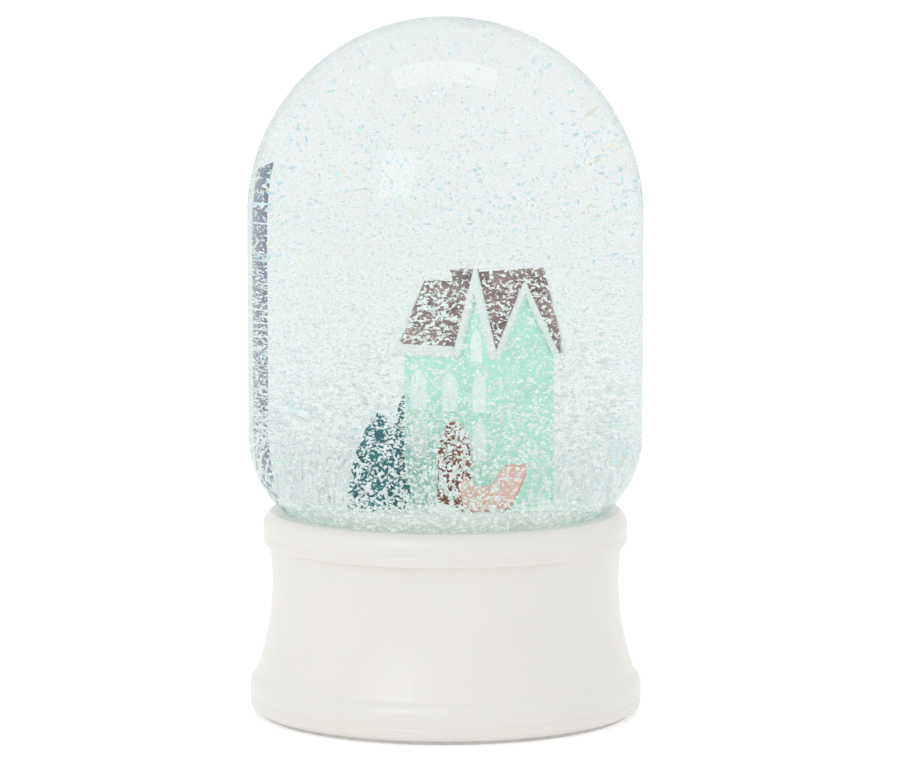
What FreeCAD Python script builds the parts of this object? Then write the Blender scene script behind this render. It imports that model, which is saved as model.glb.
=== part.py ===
import FreeCAD, Part

import math
import os

import PartDesign
import Sketcher

# A wind-up musical water globe.  Millimetres, +Z up, the front faces -Y.
# The origin is the centre of the foot, on the surface that the globe stands on.
# Driving dimensions live in the sheet; every solid below is bound to its cells.

doc = FreeCAD.newDocument("snow_globe")
sheet = doc.addObject("Spreadsheet::Sheet", "Sheet")
nodes = []


# ---------------------------------------------------------------- sizes

class Size:
    """A number of the sheet, or one worked out from it, with the expression that gives it."""

    def __init__(self, value, text):
        self.value = float(value)
        self.text = text

    def __add__(self, other):
        other = as_size(other)
        return Size(self.value + other.value, "(%s + %s)" % (self.text, other.text))

    def __sub__(self, other):
        other = as_size(other)
        return Size(self.value - other.value, "(%s - %s)" % (self.text, other.text))

    def __mul__(self, other):
        other = as_size(other)
        return Size(self.value * other.value, "(%s * %s)" % (self.text, other.text))

    def __truediv__(self, other):
        other = as_size(other)
        return Size(self.value / other.value, "(%s / %s)" % (self.text, other.text))

    def __neg__(self):
        return Size(-self.value, "(0 - %s)" % self.text)

    def __rsub__(self, other):
        return as_size(other) - self


def as_size(number):
    if isinstance(number, Size):
        return number
    return Size(number, "%.6f" % number)


def size(name, value):
    """A driving dimension: a named cell of the sheet."""
    row = len(sheet.getUsedCells()) // 2 + 1
    sheet.set("A%d" % row, name)
    sheet.set("B%d" % row, str(value))
    sheet.setAlias("B%d" % row, name)
    return Size(value, "Sheet." + name)


def leg(hypotenuse, other):
    """The other short side of a right-angled triangle."""
    value = math.sqrt(hypotenuse.value ** 2 - other.value ** 2)
    text = "sqrt(%s * %s - %s * %s)" % (hypotenuse.text, hypotenuse.text, other.text, other.text)
    return Size(value, text)


def turned(distance, degrees):
    """The X and Y of a point at a distance from the axis and an angle from +X."""
    angle = math.radians(degrees)
    return distance * math.cos(angle), distance * math.sin(angle)


def bind(item, **properties):
    """Binds an object's properties to expressions of the sheet."""
    for prop, value in properties.items():
        item.setExpression(prop, as_size(value).text)


def place(item, x=0, y=0, z=0, axis=(0, 0, 1), degrees=0):
    """Sets an object's place, bound to the sheet, and its turn about an axis."""
    turn = FreeCAD.Rotation(FreeCAD.Vector(*axis), degrees)
    spot = [as_size(value) for value in (x, y, z)]
    item.Placement = FreeCAD.Placement(FreeCAD.Vector(*[value.value for value in spot]), turn)
    for direction, value in zip("xyz", spot):
        item.setExpression("Placement.Base." + direction, value.text)
    return item


def node(item, label):
    """Names a finished piece and lists it for the hand-over."""
    item.Label = label
    nodes.append(item)
    return item


# ---------------------------------------------------------------- sketches and features

LEFT, RIGHT = 1, -1     # the way that a round edge turns as the outline is followed
PLANES = {"XY": ("XY_Plane", 1), "XZ": ("XZ_Plane", -1), "YZ": ("YZ_Plane", 1)}


def origin_feature(body, role):
    return [item for item in body.Origin.OriginFeatures if item.Role == role][0]


def new_body(name):
    return doc.addObject("PartDesign::Body", name)


def new_sketch(body, plane="XZ", start=0):
    """A sketch on one of the body's origin planes, moved along that plane's world axis."""
    role, sign = PLANES[plane]
    sketch = body.newObject("Sketcher::SketchObject", body.Name + "_sketch")
    sketch.AttachmentSupport = [(origin_feature(body, role), "")]
    sketch.MapMode = "FlatFace"
    shift = as_size(start) * sign
    sketch.AttachmentOffset = FreeCAD.Placement(FreeCAD.Vector(0, 0, shift.value), FreeCAD.Rotation())
    sketch.setExpression("AttachmentOffset.Base.z", shift.text)
    return sketch


def fix_point(sketch, edge, end, x, y):
    """Holds a point of an edge at the place that the sheet gives."""
    for kind, value, axis in (("DistanceX", x, -2), ("DistanceY", y, -1)):
        if abs(value.value) < 1e-9:
            sketch.addConstraint(Sketcher.Constraint("PointOnObject", edge, end, axis))
        else:
            held = sketch.addConstraint(Sketcher.Constraint(kind, -1, 1, edge, end, value.value))
            sketch.setExpression("Constraints[%d]" % held, value.text)


def arc_between(start, finish, radius, way):
    """The arc of at most half a circle that leaves start and turns left or right to finish."""
    chord = finish - start
    half = chord.Length / 2
    rise = math.sqrt(max(radius ** 2 - half ** 2, 0))
    across = FreeCAD.Vector(-chord.y, chord.x, 0).normalize()
    centre = start + chord * 0.5 + across * rise * way
    first, last = (start, finish) if way == LEFT else (finish, start)
    begin = math.atan2(first.y - centre.y, first.x - centre.x)
    end = math.atan2(last.y - centre.y, last.x - centre.x)
    if end < begin:
        end += 2 * math.pi
    return Part.ArcOfCircle(Part.Circle(centre, FreeCAD.Vector(0, 0, 1), radius), begin, end)


def outline(sketch, corners):
    """Draws a closed outline.  A corner is (x, y), or (x, y, radius, way) when a round edge leaves it."""
    corners = [tuple(as_size(value) for value in corner[:3]) + tuple(corner[3:]) for corner in corners]
    points = [FreeCAD.Vector(corner[0].value, corner[1].value, 0) for corner in corners]
    starts, ends = [], []
    for index, corner in enumerate(corners):
        here, there = points[index], points[(index + 1) % len(points)]
        if len(corner) > 2:
            edge = sketch.addGeometry(arc_between(here, there, corner[2].value, corner[3]), False)
            held = sketch.addConstraint(Sketcher.Constraint("Radius", edge, corner[2].value))
            sketch.setExpression("Constraints[%d]" % held, corner[2].text)
            first, last = (1, 2) if corner[3] == LEFT else (2, 1)
        else:
            edge = sketch.addGeometry(Part.LineSegment(here, there), False)
            first, last = 1, 2
        starts.append((edge, first))
        ends.append((edge, last))
    for index, corner in enumerate(corners):
        edge, end = starts[index]
        before, close = ends[index - 1]
        sketch.addConstraint(Sketcher.Constraint("Coincident", before, close, edge, end))
        fix_point(sketch, edge, end, corner[0], corner[1])
    return sketch


def circle(sketch, x, y, radius):
    """Draws a circle held by the sheet."""
    x, y, radius = as_size(x), as_size(y), as_size(radius)
    centre = FreeCAD.Vector(x.value, y.value, 0)
    ring = Part.Circle(centre, FreeCAD.Vector(0, 0, 1), radius.value)
    edge = sketch.addGeometry(ring, False)
    held = sketch.addConstraint(Sketcher.Constraint("Radius", edge, radius.value))
    sketch.setExpression("Constraints[%d]" % held, radius.text)
    fix_point(sketch, edge, 3, x, y)
    return sketch


def box_corners(low_x, high_x, low_y, high_y):
    return [(low_x, low_y), (high_x, low_y), (high_x, high_y), (low_x, high_y)]


def extrude(body, sketch, length, plane="XY", cut=False, both_ways=False):
    """Adds or cuts along the plane's positive world axis, or evenly to both sides."""
    kind = "PartDesign::Pocket" if cut else "PartDesign::Pad"
    feature = body.newObject(kind, body.Name + ("_cut" if cut else "_pad"))
    feature.Profile = sketch
    bind(feature, Length=length)
    forwards = PLANES[plane][1] == 1
    feature.Midplane = both_ways
    feature.Reversed = not both_ways and forwards == cut
    body.Tip = feature
    return feature


def prism(body, plane, corners, start, length, cut=False, both_ways=False):
    """A sketch of one outline and its pad or pocket."""
    sketch = outline(new_sketch(body, plane, start), corners)
    return extrude(body, sketch, length, plane, cut, both_ways)


def revolve(body, corners):
    """A full turn of an outline in the XZ plane about the Z axis."""
    sketch = outline(new_sketch(body), corners)
    feature = body.newObject("PartDesign::Revolution", body.Name + "_turn")
    feature.Profile = sketch
    feature.ReferenceAxis = (sketch, ["V_Axis"])
    feature.Angle = 360
    body.Tip = feature
    return feature


def around(body, feature, count):
    """Repeats a feature evenly around the Z axis."""
    pattern = body.newObject("PartDesign::PolarPattern", body.Name + "_ring")
    pattern.Originals = [feature]
    pattern.Axis = (origin_feature(body, "Z_Axis"), [""])
    pattern.Angle = 360
    bind(pattern, Occurrences=count)
    body.Tip = pattern
    return pattern


def along_x(body, feature, length, count):
    """Repeats a feature evenly along the X axis."""
    pattern = body.newObject("PartDesign::LinearPattern", body.Name + "_row")
    pattern.Originals = [feature]
    pattern.Direction = (origin_feature(body, "X_Axis"), [""])
    bind(pattern, Length=length, Occurrences=count)
    body.Tip = pattern
    return pattern


def cylinder(name, radius, height, x=0, y=0, z=0, axis=(0, 0, 1), degrees=0):
    item = doc.addObject("Part::Cylinder", name)
    bind(item, Radius=radius, Height=height)
    return place(item, x, y, z, axis, degrees)


def cut(name, base, tool):
    item = doc.addObject("Part::Cut", name)
    item.Base = base
    item.Tool = tool
    return item


def fuse(name, shapes):
    item = doc.addObject("Part::MultiFuse", name)
    item.Shapes = shapes
    return item


def group(name, shapes):
    """Separate solids that share one node."""
    item = doc.addObject("Part::Compound", name)
    item.Links = shapes
    return item


# ---------------------------------------------------------------- driving dimensions

dome_radius = size("dome_radius", 50)
dome_top = size("dome_top", 176.4)
glass_wall = size("glass_wall", 2.5)
shoulder_radius = size("shoulder_radius", 25)
shoulder_height = size("shoulder_height", 70.6)
neck_radius = size("neck_radius", 36)
neck_wall = size("neck_wall", 3)
neck_bottom = size("neck_bottom", 38)
seat_gap = size("seat_gap", 0.1)

stopper_flange = size("stopper_flange", 2.5)
stopper_top = size("stopper_top", 48)
stopper_hollow = size("stopper_hollow", 24)
ground_top = size("ground_top", 58)
ground_radius = size("ground_radius", 32.5)

foot_thickness = size("foot_thickness", 1)
foot_radius = size("foot_radius", 49.8)
foot_rounding = size("foot_rounding", 1.9)
waist_radius = size("waist_radius", 44.15)
waist_height = size("waist_height", 34)
rim_top = size("rim_top", 51.5)
pedestal_bore = size("pedestal_bore", 38)
cavity_radius = size("cavity_radius", 39.5)
plate_recess = size("plate_recess", 40.5)
plate_bottom = size("plate_bottom", 12)
plate_thickness = size("plate_thickness", 2.5)
boss_circle = size("boss_circle", 36)
screw_radius = size("screw_radius", 1.25)
screw_head = size("screw_head", 2.5)

house_width = size("house_width", 21.5)
house_depth = size("house_depth", 16.6)
wall_height = size("wall_height", 34)
main_left = size("main_left", 12.6)
main_rise = size("main_rise", 21.5)
side_rise = size("side_rise", 18.9)
wing_rise = size("wing_rise", 18.2)
wing_overhang = size("wing_overhang", 1.6)
roof_thickness = size("roof_thickness", 1)
rear_overhang = size("rear_overhang", 1.9)
board_depth = size("board_depth", 0.9)
front_board = size("front_board", 1.4)
front_lift = size("front_lift", 1.2)
fascia_height = size("fascia_height", 3)
chimney_side = size("chimney_side", 3.1)
chimney_place = size("chimney_place", 7.2)
chimney_rise = size("chimney_rise", 21.5)
scene_gap = size("scene_gap", 0.3)
house_turn = size("house_turn", -37)
house_x = size("house_x", -7.37)
house_y = size("house_y", 3.39)

sleigh_x = size("sleigh_x", 2.8)
sleigh_y = size("sleigh_y", -17.2)
sleigh_width = size("sleigh_width", 5)
sleigh_wall = size("sleigh_wall", 0.8)
sleigh_lift = size("sleigh_lift", 1.2)
sleigh_length = size("sleigh_length", 14.4)
sleigh_back = size("sleigh_back", 7.5)

movement_x = size("movement_x", -14)
movement_floor = size("movement_floor", 2)
drum_height = size("drum_height", 23.4)
drum_radius = size("drum_radius", 5.6)
drum_start = size("drum_start", 2.4)
drum_length = size("drum_length", 24)
pin_height = size("pin_height", 0.7)
comb_teeth = size("comb_teeth", 18)
shaft_radius = size("shaft_radius", 1)
running_gap = size("running_gap", 0.05)
arbor_radius = size("arbor_radius", 1.5)
housing_radius = size("housing_radius", 10.5)
great_teeth = size("great_teeth", 28)
great_radius = size("great_radius", 12.5)
pinion_teeth = size("pinion_teeth", 12)
wheel_teeth = size("wheel_teeth", 24)
fly_teeth = size("fly_teeth", 8)
fly_module = size("fly_module", 0.5)
fly_angle = 26      # degrees above the level line, from the drum's shaft to the fly's

dome_spring = dome_top - dome_radius
plate_top = plate_bottom + plate_thickness
bed_top = plate_top + movement_floor


# ---------------------------------------------------------------- globe

def glass_outline():
    """The shell: neck, round shoulder, straight wall and round top, outside and inside."""
    inner_radius = dome_radius - glass_wall
    inner_shoulder = shoulder_radius - glass_wall
    neck_inner = neck_radius - neck_wall
    centre = dome_radius - shoulder_radius
    neck_meets = shoulder_height - leg(shoulder_radius, neck_radius - centre)
    inner_meets = shoulder_height - leg(inner_shoulder, neck_inner - centre)
    return [
        (neck_inner, neck_bottom),
        (neck_radius, neck_bottom),
        (neck_radius, neck_meets, shoulder_radius, LEFT),
        (dome_radius, shoulder_height),
        (dome_radius, dome_spring, dome_radius, LEFT),
        (0, dome_top),
        (0, dome_top - glass_wall, inner_radius, RIGHT),
        (inner_radius, dome_spring),
        (inner_radius, shoulder_height, inner_shoulder, RIGHT),
        (neck_inner, inner_meets),
    ]


def make_glass_dome():
    body = new_body("glass_dome")
    revolve(body, glass_outline())
    return node(body, "glass_dome")


def make_rubber_stopper():
    """A cup-shaped bung with a flange that closes the neck from below."""
    bore = neck_radius - neck_wall
    bottom = neck_bottom - stopper_flange
    body = new_body("rubber_stopper")
    revolve(body, [
        (stopper_hollow, bottom),
        (neck_radius, bottom),
        (neck_radius, neck_bottom),
        (bore, neck_bottom),
        (bore, stopper_top),
        (0, stopper_top),
        (0, stopper_top - glass_wall * 2),
        (stopper_hollow, stopper_top - glass_wall * 2),
    ])
    return node(body, "rubber_stopper")


def make_snow_ground():
    """The moulded snow disc that the scene stands on, with a rounded edge."""
    edge = size("ground_edge", 1.5)
    body = new_body("snow_ground")
    revolve(body, [
        (0, stopper_top),
        (ground_radius, stopper_top),
        (ground_radius, ground_top - edge, edge, LEFT),
        (ground_radius - edge, ground_top),
        (0, ground_top),
    ])
    return node(body, "snow_ground")


def make_cavity(bottom):
    """The room inside the glass above a given height."""
    inner_radius = dome_radius - glass_wall
    inner_shoulder = shoulder_radius - glass_wall
    centre = dome_radius - shoulder_radius
    body = new_body("cavity")
    revolve(body, [
        (0, bottom),
        (centre + leg(inner_shoulder, shoulder_height - bottom), bottom, inner_shoulder, LEFT),
        (inner_radius, shoulder_height),
        (inner_radius, dome_spring, inner_radius, LEFT),
        (0, dome_top - glass_wall),
    ])
    return body


def make_snow_flakes():
    """A sample of the loose flakes: thin six-sided plates adrift in the liquid, clear of the scene."""
    flake_count = size("flake_count", 90)
    flake_radius = size("flake_radius", 0.9)
    flake_thickness = size("flake_thickness", 0.25)
    golden_angle = math.pi * (3 - math.sqrt(5))
    low = ground_top.value + 8
    high = dome_top.value - 14
    plates = []
    count = int(flake_count.value)
    for index in range(count):
        share = (index + 0.5) / count
        z = low + (high - low) * share
        room = dome_radius.value - glass_wall.value - 3
        if z > dome_spring.value:
            room = math.sqrt(room ** 2 - (z - dome_spring.value) ** 2)
        clear = 34 if z < dome_spring.value else 0
        distance = clear + (room - clear) * ((index * 7) % 10) / 10
        angle = index * golden_angle
        corners = [FreeCAD.Vector(flake_radius.value, 0, 0)]
        turn = FreeCAD.Rotation(FreeCAD.Vector(0, 0, 1), 60)
        for _ in range(6):
            corners.append(turn.multVec(corners[-1]))
        corners[-1] = corners[0]
        plate = Part.Face(Part.makePolygon(corners)).extrude(FreeCAD.Vector(0, 0, flake_thickness.value))
        plate.rotate(FreeCAD.Vector(), FreeCAD.Vector(math.cos(index), math.sin(index), 0.3), 37 * index)
        plate.translate(FreeCAD.Vector(distance * math.cos(angle), distance * math.sin(angle), z))
        plates.append(plate)
    flakes = doc.addObject("Part::Feature", "snow_flakes")
    flakes.Shape = Part.makeCompound(plates)
    flakes.Placement = FreeCAD.Placement()
    return node(flakes, "snow_flakes")


# ---------------------------------------------------------------- house

roof_mid = (main_left + house_width) / 2
depth_mid = house_depth / 2
board_width = size("board_width", 1.5)


def house_place(body):
    """The house's own frame: X along the front wall, Y to the back, Z up from the snow."""
    return place(body, house_x, house_y, ground_top, (0, 0, 1), house_turn.value)


def inner_rise(low, high, rise):
    """The height of the walls' gable under a roof that rises this far outside."""
    half = (high - low) / 2
    return rise * half / (half + roof_thickness)


def step_up(low, high, rise):
    """The height of the roof's outer face above the eaves where it meets the wall's line."""
    return rise * roof_thickness / ((high - low) / 2 + roof_thickness)


def gable_wall(low, high, rise):
    middle = (low + high) / 2
    return [(low, wall_height), (high, wall_height), (middle, wall_height + inner_rise(low, high, rise))]


def gable_block(low, high, rise):
    """The roof's outer outline, closed at the eaves."""
    middle = (low + high) / 2
    edge = wall_height + step_up(low, high, rise)
    return [(low, wall_height), (high, wall_height), (high, edge), (middle, wall_height + rise), (low, edge)]


def roof_slab(low, high, rise):
    """Two roof slopes that meet at the ridge."""
    middle = (low + high) / 2
    edge = wall_height + step_up(low, high, rise)
    under = wall_height + inner_rise(low, high, rise)
    return [
        (low, wall_height), (middle, under), (high, wall_height),
        (high, edge), (middle, wall_height + rise), (low, edge),
    ]


def verge(low, high, rise):
    """The two bargeboards of a gable, joined at its top."""
    middle = (low + high) / 2
    half = (high - low) / 2 + roof_thickness
    top = wall_height + rise
    under = top - rise * board_width / half
    return [
        (low - roof_thickness, wall_height), (low - roof_thickness + board_width, wall_height),
        (middle, under), (high + roof_thickness - board_width, wall_height),
        (high + roof_thickness, wall_height), (middle, top),
    ]


def make_house_room():
    """A plain closed room a little larger than the house, which the liquid is cut away from."""
    margin = board_depth + scene_gap
    front = -(front_board + scene_gap)
    back = rear_overhang + margin
    left = -(wing_overhang + margin)
    sunk = wall_height - 1
    body = house_place(new_body("house_room"))
    plan = box_corners(left, house_width + margin, front, house_depth + margin)
    prism(body, "XY", plan, -scene_gap, wall_height + fascia_height + scene_gap * 2)
    gables = (
        ("XZ", main_left, house_width, main_rise, front, house_depth + back - front),
        ("YZ", as_size(0), house_depth, side_rise, roof_mid, house_width - roof_mid + margin),
        ("YZ", as_size(0), house_depth, wing_rise, left, roof_mid - left),
    )
    for plane, low, high, rise, start, length in gables:
        middle = (low + high) / 2
        reach = roof_thickness + scene_gap * 2
        peak = wall_height + rise + scene_gap * 8
        prism(body, plane, [(low - reach, sunk), (high + reach, sunk), (middle, peak)], start, length)
    low, high = chimney_place - chimney_side, chimney_place + chimney_side
    near, far = depth_mid - chimney_side, depth_mid + chimney_side
    prism(body, "XY", box_corners(low, high, near, far), sunk, chimney_rise + scene_gap * 4)
    return body


def make_house_walls():
    body = house_place(new_body("house_walls"))
    prism(body, "XY", box_corners(0, house_width, 0, house_depth), 0, wall_height)
    prism(body, "XZ", gable_wall(main_left, house_width, main_rise), 0, house_depth)
    prism(body, "YZ", gable_wall(as_size(0), house_depth, side_rise), roof_mid, house_width - roof_mid)
    prism(body, "YZ", gable_wall(as_size(0), house_depth, wing_rise), 0, roof_mid)
    return node(body, "house_walls")


def make_main_roof():
    body = house_place(new_body("main_roof"))
    prism(body, "XZ", roof_slab(main_left, house_width, main_rise), 0, house_depth + rear_overhang)
    side = gable_block(as_size(0), house_depth, side_rise)
    prism(body, "YZ", side, roof_mid, house_width - roof_mid, cut=True)
    prism(body, "YZ", gable_block(as_size(0), house_depth, wing_rise), 0, roof_mid, cut=True)
    return node(body, "main_roof")


def make_side_roof():
    body = house_place(new_body("side_roof"))
    prism(body, "YZ", roof_slab(as_size(0), house_depth, side_rise), roof_mid, house_width - roof_mid)
    prism(body, "XZ", gable_wall(main_left, house_width, main_rise), 0, house_depth, cut=True)
    return node(body, "side_roof")


def make_wing_roof():
    body = house_place(new_body("wing_roof"))
    slab = roof_slab(as_size(0), house_depth, wing_rise)
    prism(body, "YZ", slab, -wing_overhang, roof_mid + wing_overhang)
    prism(body, "XZ", gable_wall(main_left, house_width, main_rise), 0, house_depth, cut=True)
    return node(body, "wing_roof")


def make_chimney():
    cap = size("chimney_cap", 0.4)
    top = wall_height + chimney_rise
    low, high = chimney_place - chimney_side / 2, chimney_place + chimney_side / 2
    front, back = depth_mid - chimney_side / 2, depth_mid + chimney_side / 2
    body = house_place(new_body("chimney"))
    prism(body, "XY", box_corners(low, high, front, back), wall_height, chimney_rise)
    prism(body, "XY", box_corners(low - cap, high + cap, front - cap, back + cap), top - cap * 2, cap * 2)
    prism(body, "YZ", gable_block(as_size(0), house_depth, wing_rise), 0, roof_mid, cut=True)
    return node(body, "chimney")


def make_bargeboards():
    ends = (
        ("front_bargeboard", main_rise + front_lift, -front_board, front_board),
        ("rear_bargeboard", main_rise, house_depth + rear_overhang, board_depth),
    )
    for label, rise, start, depth in ends:
        body = house_place(new_body(label))
        prism(body, "XZ", verge(main_left, house_width, rise), start, depth)
        past = box_corners(house_width, house_width + roof_thickness * 2, 0, wall_height * 2)
        prism(body, "XZ", past, start, depth, cut=True)
        node(body, label)
    wing_end = -(wing_overhang + board_depth)
    spots = (("side_bargeboard", house_width, side_rise), ("wing_bargeboard", wing_end, wing_rise))
    for label, start, rise in spots:
        body = house_place(new_body(label))
        prism(body, "YZ", verge(as_size(0), house_depth, rise), start, board_depth)
        node(body, label)


def make_fascias():
    """The snow-covered gutter boards under the wing's eaves."""
    height = fascia_height
    end = main_left - roof_thickness
    for label, start in (("front_fascia", -board_depth), ("rear_fascia", house_depth)):
        body = house_place(new_body(label))
        corners = box_corners(-wing_overhang, end, wall_height, wall_height + height)
        prism(body, "XZ", corners, start, board_depth)
        node(body, label)


def lancet(middle, bottom, width, height, arch):
    """A tall opening with a pointed arch on top."""
    spring = bottom + height - arch
    radius = (arch * arch + width * width / 4) / width
    left, right = middle - width / 2, middle + width / 2
    return [
        (left, bottom), (right, bottom),
        (right, spring, radius, LEFT),
        (middle, bottom + height, radius, LEFT),
        (left, spring),
    ]


def make_openings():
    width = size("window_width", 3.3)
    height = size("window_height", 10.2)
    arch = size("window_arch", 4)
    first = size("window_first", 3.2)
    spacing = size("window_spacing", 7.3)
    ground_row = size("ground_row", 8.4)
    upper_row = size("upper_row", 20.4)
    gable_row = size("gable_row", 33.1)
    proud = size("window_proud", 0.5)
    door_width = size("door_width", 7.6)
    door_height = size("door_height", 17.8)
    door_arch = size("door_arch", 11)
    door_shift = size("door_shift", 1.1)
    windows = house_place(new_body("lancet_windows"))
    sketch = new_sketch(windows, "XZ", -proud)
    for column, row in ((0, ground_row), (2, ground_row), (0, upper_row), (1, upper_row), (2, upper_row)):
        outline(sketch, lancet(first + spacing * column, row, width, height, arch))
    outline(sketch, lancet(roof_mid, gable_row, width * 0.8, height * 0.85, arch))
    extrude(windows, sketch, proud, "XZ")
    node(windows, "lancet_windows")
    door = house_place(new_body("front_door"))
    shape = lancet(first + spacing + door_shift, as_size(0), door_width, door_height, door_arch)
    prism(door, "XZ", shape, -(proud * 1.5), proud * 1.5)
    node(door, "front_door")


# ---------------------------------------------------------------- garden

def make_tree(label, x, y, radius, height, tiers):
    """A conifer of stacked skirts that narrow to a point, on a short trunk."""
    trunk = size(label + "_trunk", 1.2)
    body = place(new_body(label), x, y, ground_top)
    crown = height - trunk
    fullness, tuck, tip = 0.72, 0.75, 0.6
    levels = tiers + tip
    corners = [(0, 0), (trunk, 0), (trunk, trunk)]
    for tier in range(tiers):
        outer = radius * (1 - tier / levels) ** fullness
        inner = radius * (1 - (tier + 1) / levels) ** fullness * tuck
        corners.append((outer, trunk + crown * (tier / levels)))
        if tier < tiers - 1:
            corners.append((inner, trunk + crown * ((tier + 0.85) / levels)))
    corners.append((0, height))
    revolve(body, corners)
    return node(body, label)


def make_sleigh():
    """A sleigh seen from its side: a curled front, a low middle, a high back, on two runners."""
    x, y = sleigh_x, sleigh_y
    width, wall, lift = sleigh_width, sleigh_wall, sleigh_lift
    length, back = sleigh_length, sleigh_back
    body = place(new_body("sleigh_body"), x, y, ground_top + lift)
    prism(body, "XZ", [
        (length * 0.15, 0), (length * 0.68, 0),
        (length * 0.98, back * 0.92), (length * 0.95, back),
        (length * 0.68, back), (length * 0.6, back * 0.92),
        (length * 0.49, back * 0.6), (length * 0.37, back * 0.5), (length * 0.22, back * 0.52),
        (length * 0.08, back * 0.66, length * 0.13, LEFT),
        (0, back * 0.58), (length * 0.05, back * 0.18),
    ], 0, width, both_ways=True)
    prism(body, "XZ", [
        (length * 0.2, wall), (length * 0.59, wall),
        (length * 0.92, back * 1.1), (length * 0.2, back * 1.1),
    ], 0, width - wall * 2, cut=True, both_ways=True)
    node(body, "sleigh_body")
    runners = place(new_body("sleigh_runners"), x, y, ground_top)
    prism(runners, "XZ", box_corners(length * 0.05, length * 0.95, 0, wall), 0, width, both_ways=True)
    for share in (0.25, 0.7):
        post = box_corners(length * share, length * share + wall, wall, lift)
        prism(runners, "XZ", post, 0, width, both_ways=True)
    channel = box_corners(0, length, 0, lift)
    prism(runners, "XZ", channel, 0, width - wall * 2, cut=True, both_ways=True)
    for share in (0.25, 0.7):
        rung = box_corners(length * share, length * share + wall, wall, lift)
        prism(runners, "XZ", rung, 0, width, both_ways=True)
    node(runners, "sleigh_runners")


def make_snow_mounds(spots):
    """Low round drifts of snow beside the sleigh and the trees."""
    mounds = []
    for index, (x, y, radius) in enumerate(spots):
        mound = doc.addObject("Part::Sphere", "mound_%d" % index)
        bind(mound, Radius=radius)
        mound.Angle1 = 0
        mounds.append(place(mound, x, y, ground_top))
    return node(group("snow_mounds", mounds), "snow_mounds")


# ---------------------------------------------------------------- base

def make_pedestal():
    """The turned, hollow pedestal: rim bead, step, hollow waist, foot bead, groove and plinth."""
    flare = size("waist_curve", 69.4)
    flare_bottom = size("flare_bottom", 11.5)
    flare_top = size("flare_top", 40.3)
    cove = size("cove_radius", 3.5)
    band_radius = size("band_radius", 46.2)
    band_bottom = size("band_bottom", 43.6)
    band_top = size("band_top", 45.6)
    step = size("step_depth", 0.3)
    bead_round = size("rim_bead_round", 3.4)
    bead_inner = size("rim_bead_inner", 44.3)
    groove = size("foot_groove", 0.45)
    groove_low = size("groove_low", 3.9)
    groove_high = size("groove_high", 4.7)
    foot_bead = size("foot_bead", 3.6)
    foot_bead_low = size("foot_bead_low", 6.9)
    foot_bead_high = size("foot_bead_high", 10.2)
    seat = shoulder_radius + seat_gap
    centre = dome_radius - shoulder_radius
    seat_outer = centre + leg(seat, shoulder_height - rim_top)
    seat_inner = shoulder_height - leg(seat, pedestal_bore - centre)
    deck = neck_bottom - stopper_flange - 1

    def waist(height):
        return waist_radius + flare - leg(flare, waist_height - height)

    body = new_body("pedestal")
    revolve(body, [
        (plate_recess, foot_thickness),
        (foot_radius - foot_rounding, foot_thickness, foot_rounding, LEFT),
        (foot_radius, foot_thickness + foot_rounding),
        (foot_radius, groove_low, groove, RIGHT),
        (foot_radius, groove_high),
        (foot_radius, foot_bead_low, foot_bead, LEFT),
        (waist(flare_bottom) + step, foot_bead_high),
        (waist(flare_bottom), flare_bottom, flare, RIGHT),
        (waist(flare_top), flare_top, cove, RIGHT),
        (band_radius, band_bottom),
        (band_radius, band_top),
        (band_radius - step, band_top + step),
        (band_radius - step / 2, band_top + step * 2, bead_round, LEFT),
        (bead_inner, rim_top),
        (seat_outer, rim_top, seat, RIGHT),
        (pedestal_bore, seat_inner),
        (pedestal_bore, deck),
        (cavity_radius, deck - step * 4),
        (cavity_radius, plate_top),
        (plate_recess, plate_top),
    ])
    boss_radius = size("boss_radius", 4)
    boss_height = size("boss_height", 9.5)
    sketch = circle(new_sketch(body, "XY", plate_top), -boss_circle, 0, boss_radius)
    around(body, extrude(body, sketch, boss_height), 3)
    sketch = circle(new_sketch(body, "XY", plate_top), -boss_circle, 0, screw_radius)
    around(body, extrude(body, sketch, boss_height - screw_radius, cut=True), 3)
    return node(body, "pedestal")


def make_bonding_ring():
    """The ring of sealant that holds the neck in the pedestal's bore."""
    body = new_body("bonding_ring")
    revolve(body, [
        (neck_radius, neck_bottom),
        (pedestal_bore, neck_bottom),
        (pedestal_bore, stopper_top),
        (neck_radius, stopper_top),
    ])
    return node(body, "bonding_ring")


def make_felt_ring():
    """The felt that the globe stands on."""
    inner = size("felt_inner", 41.2)
    outer = size("felt_outer", 47.2)
    body = new_body("felt_ring")
    revolve(body, [(inner, 0), (outer, 0), (outer, foot_thickness), (inner, foot_thickness)])
    return node(body, "felt_ring")


MOVEMENT_SCREWS = ((-24, -16), (-24, 8), (24, 9))


def make_bottom_plate():
    """The plate that closes the pedestal, with holes for the key's shaft, the sound and the screws."""
    key_hole = size("key_hole", 4)
    sound_hole = size("sound_hole", 1.5)
    sound_circle = size("sound_circle", 30)
    edge_gap = size("plate_gap", 0.2)
    clearance = screw_radius + edge_gap
    body = new_body("bottom_plate")
    sketch = circle(new_sketch(body, "XY", plate_bottom), 0, 0, plate_recess - edge_gap)
    extrude(body, sketch, plate_thickness)
    sketch = circle(new_sketch(body, "XY", plate_bottom), movement_x, 0, key_hole)
    for x, y in MOVEMENT_SCREWS:
        circle(sketch, x, y, clearance)
    extrude(body, sketch, plate_thickness, cut=True)
    sketch = circle(new_sketch(body, "XY", plate_bottom), -boss_circle, 0, clearance)
    around(body, extrude(body, sketch, plate_thickness, cut=True), 3)
    x, y = turned(sound_circle, 15)
    sketch = circle(new_sketch(body, "XY", plate_bottom), x, y, sound_hole)
    around(body, extrude(body, sketch, plate_thickness, cut=True), 12)
    return node(body, "bottom_plate")


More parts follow.
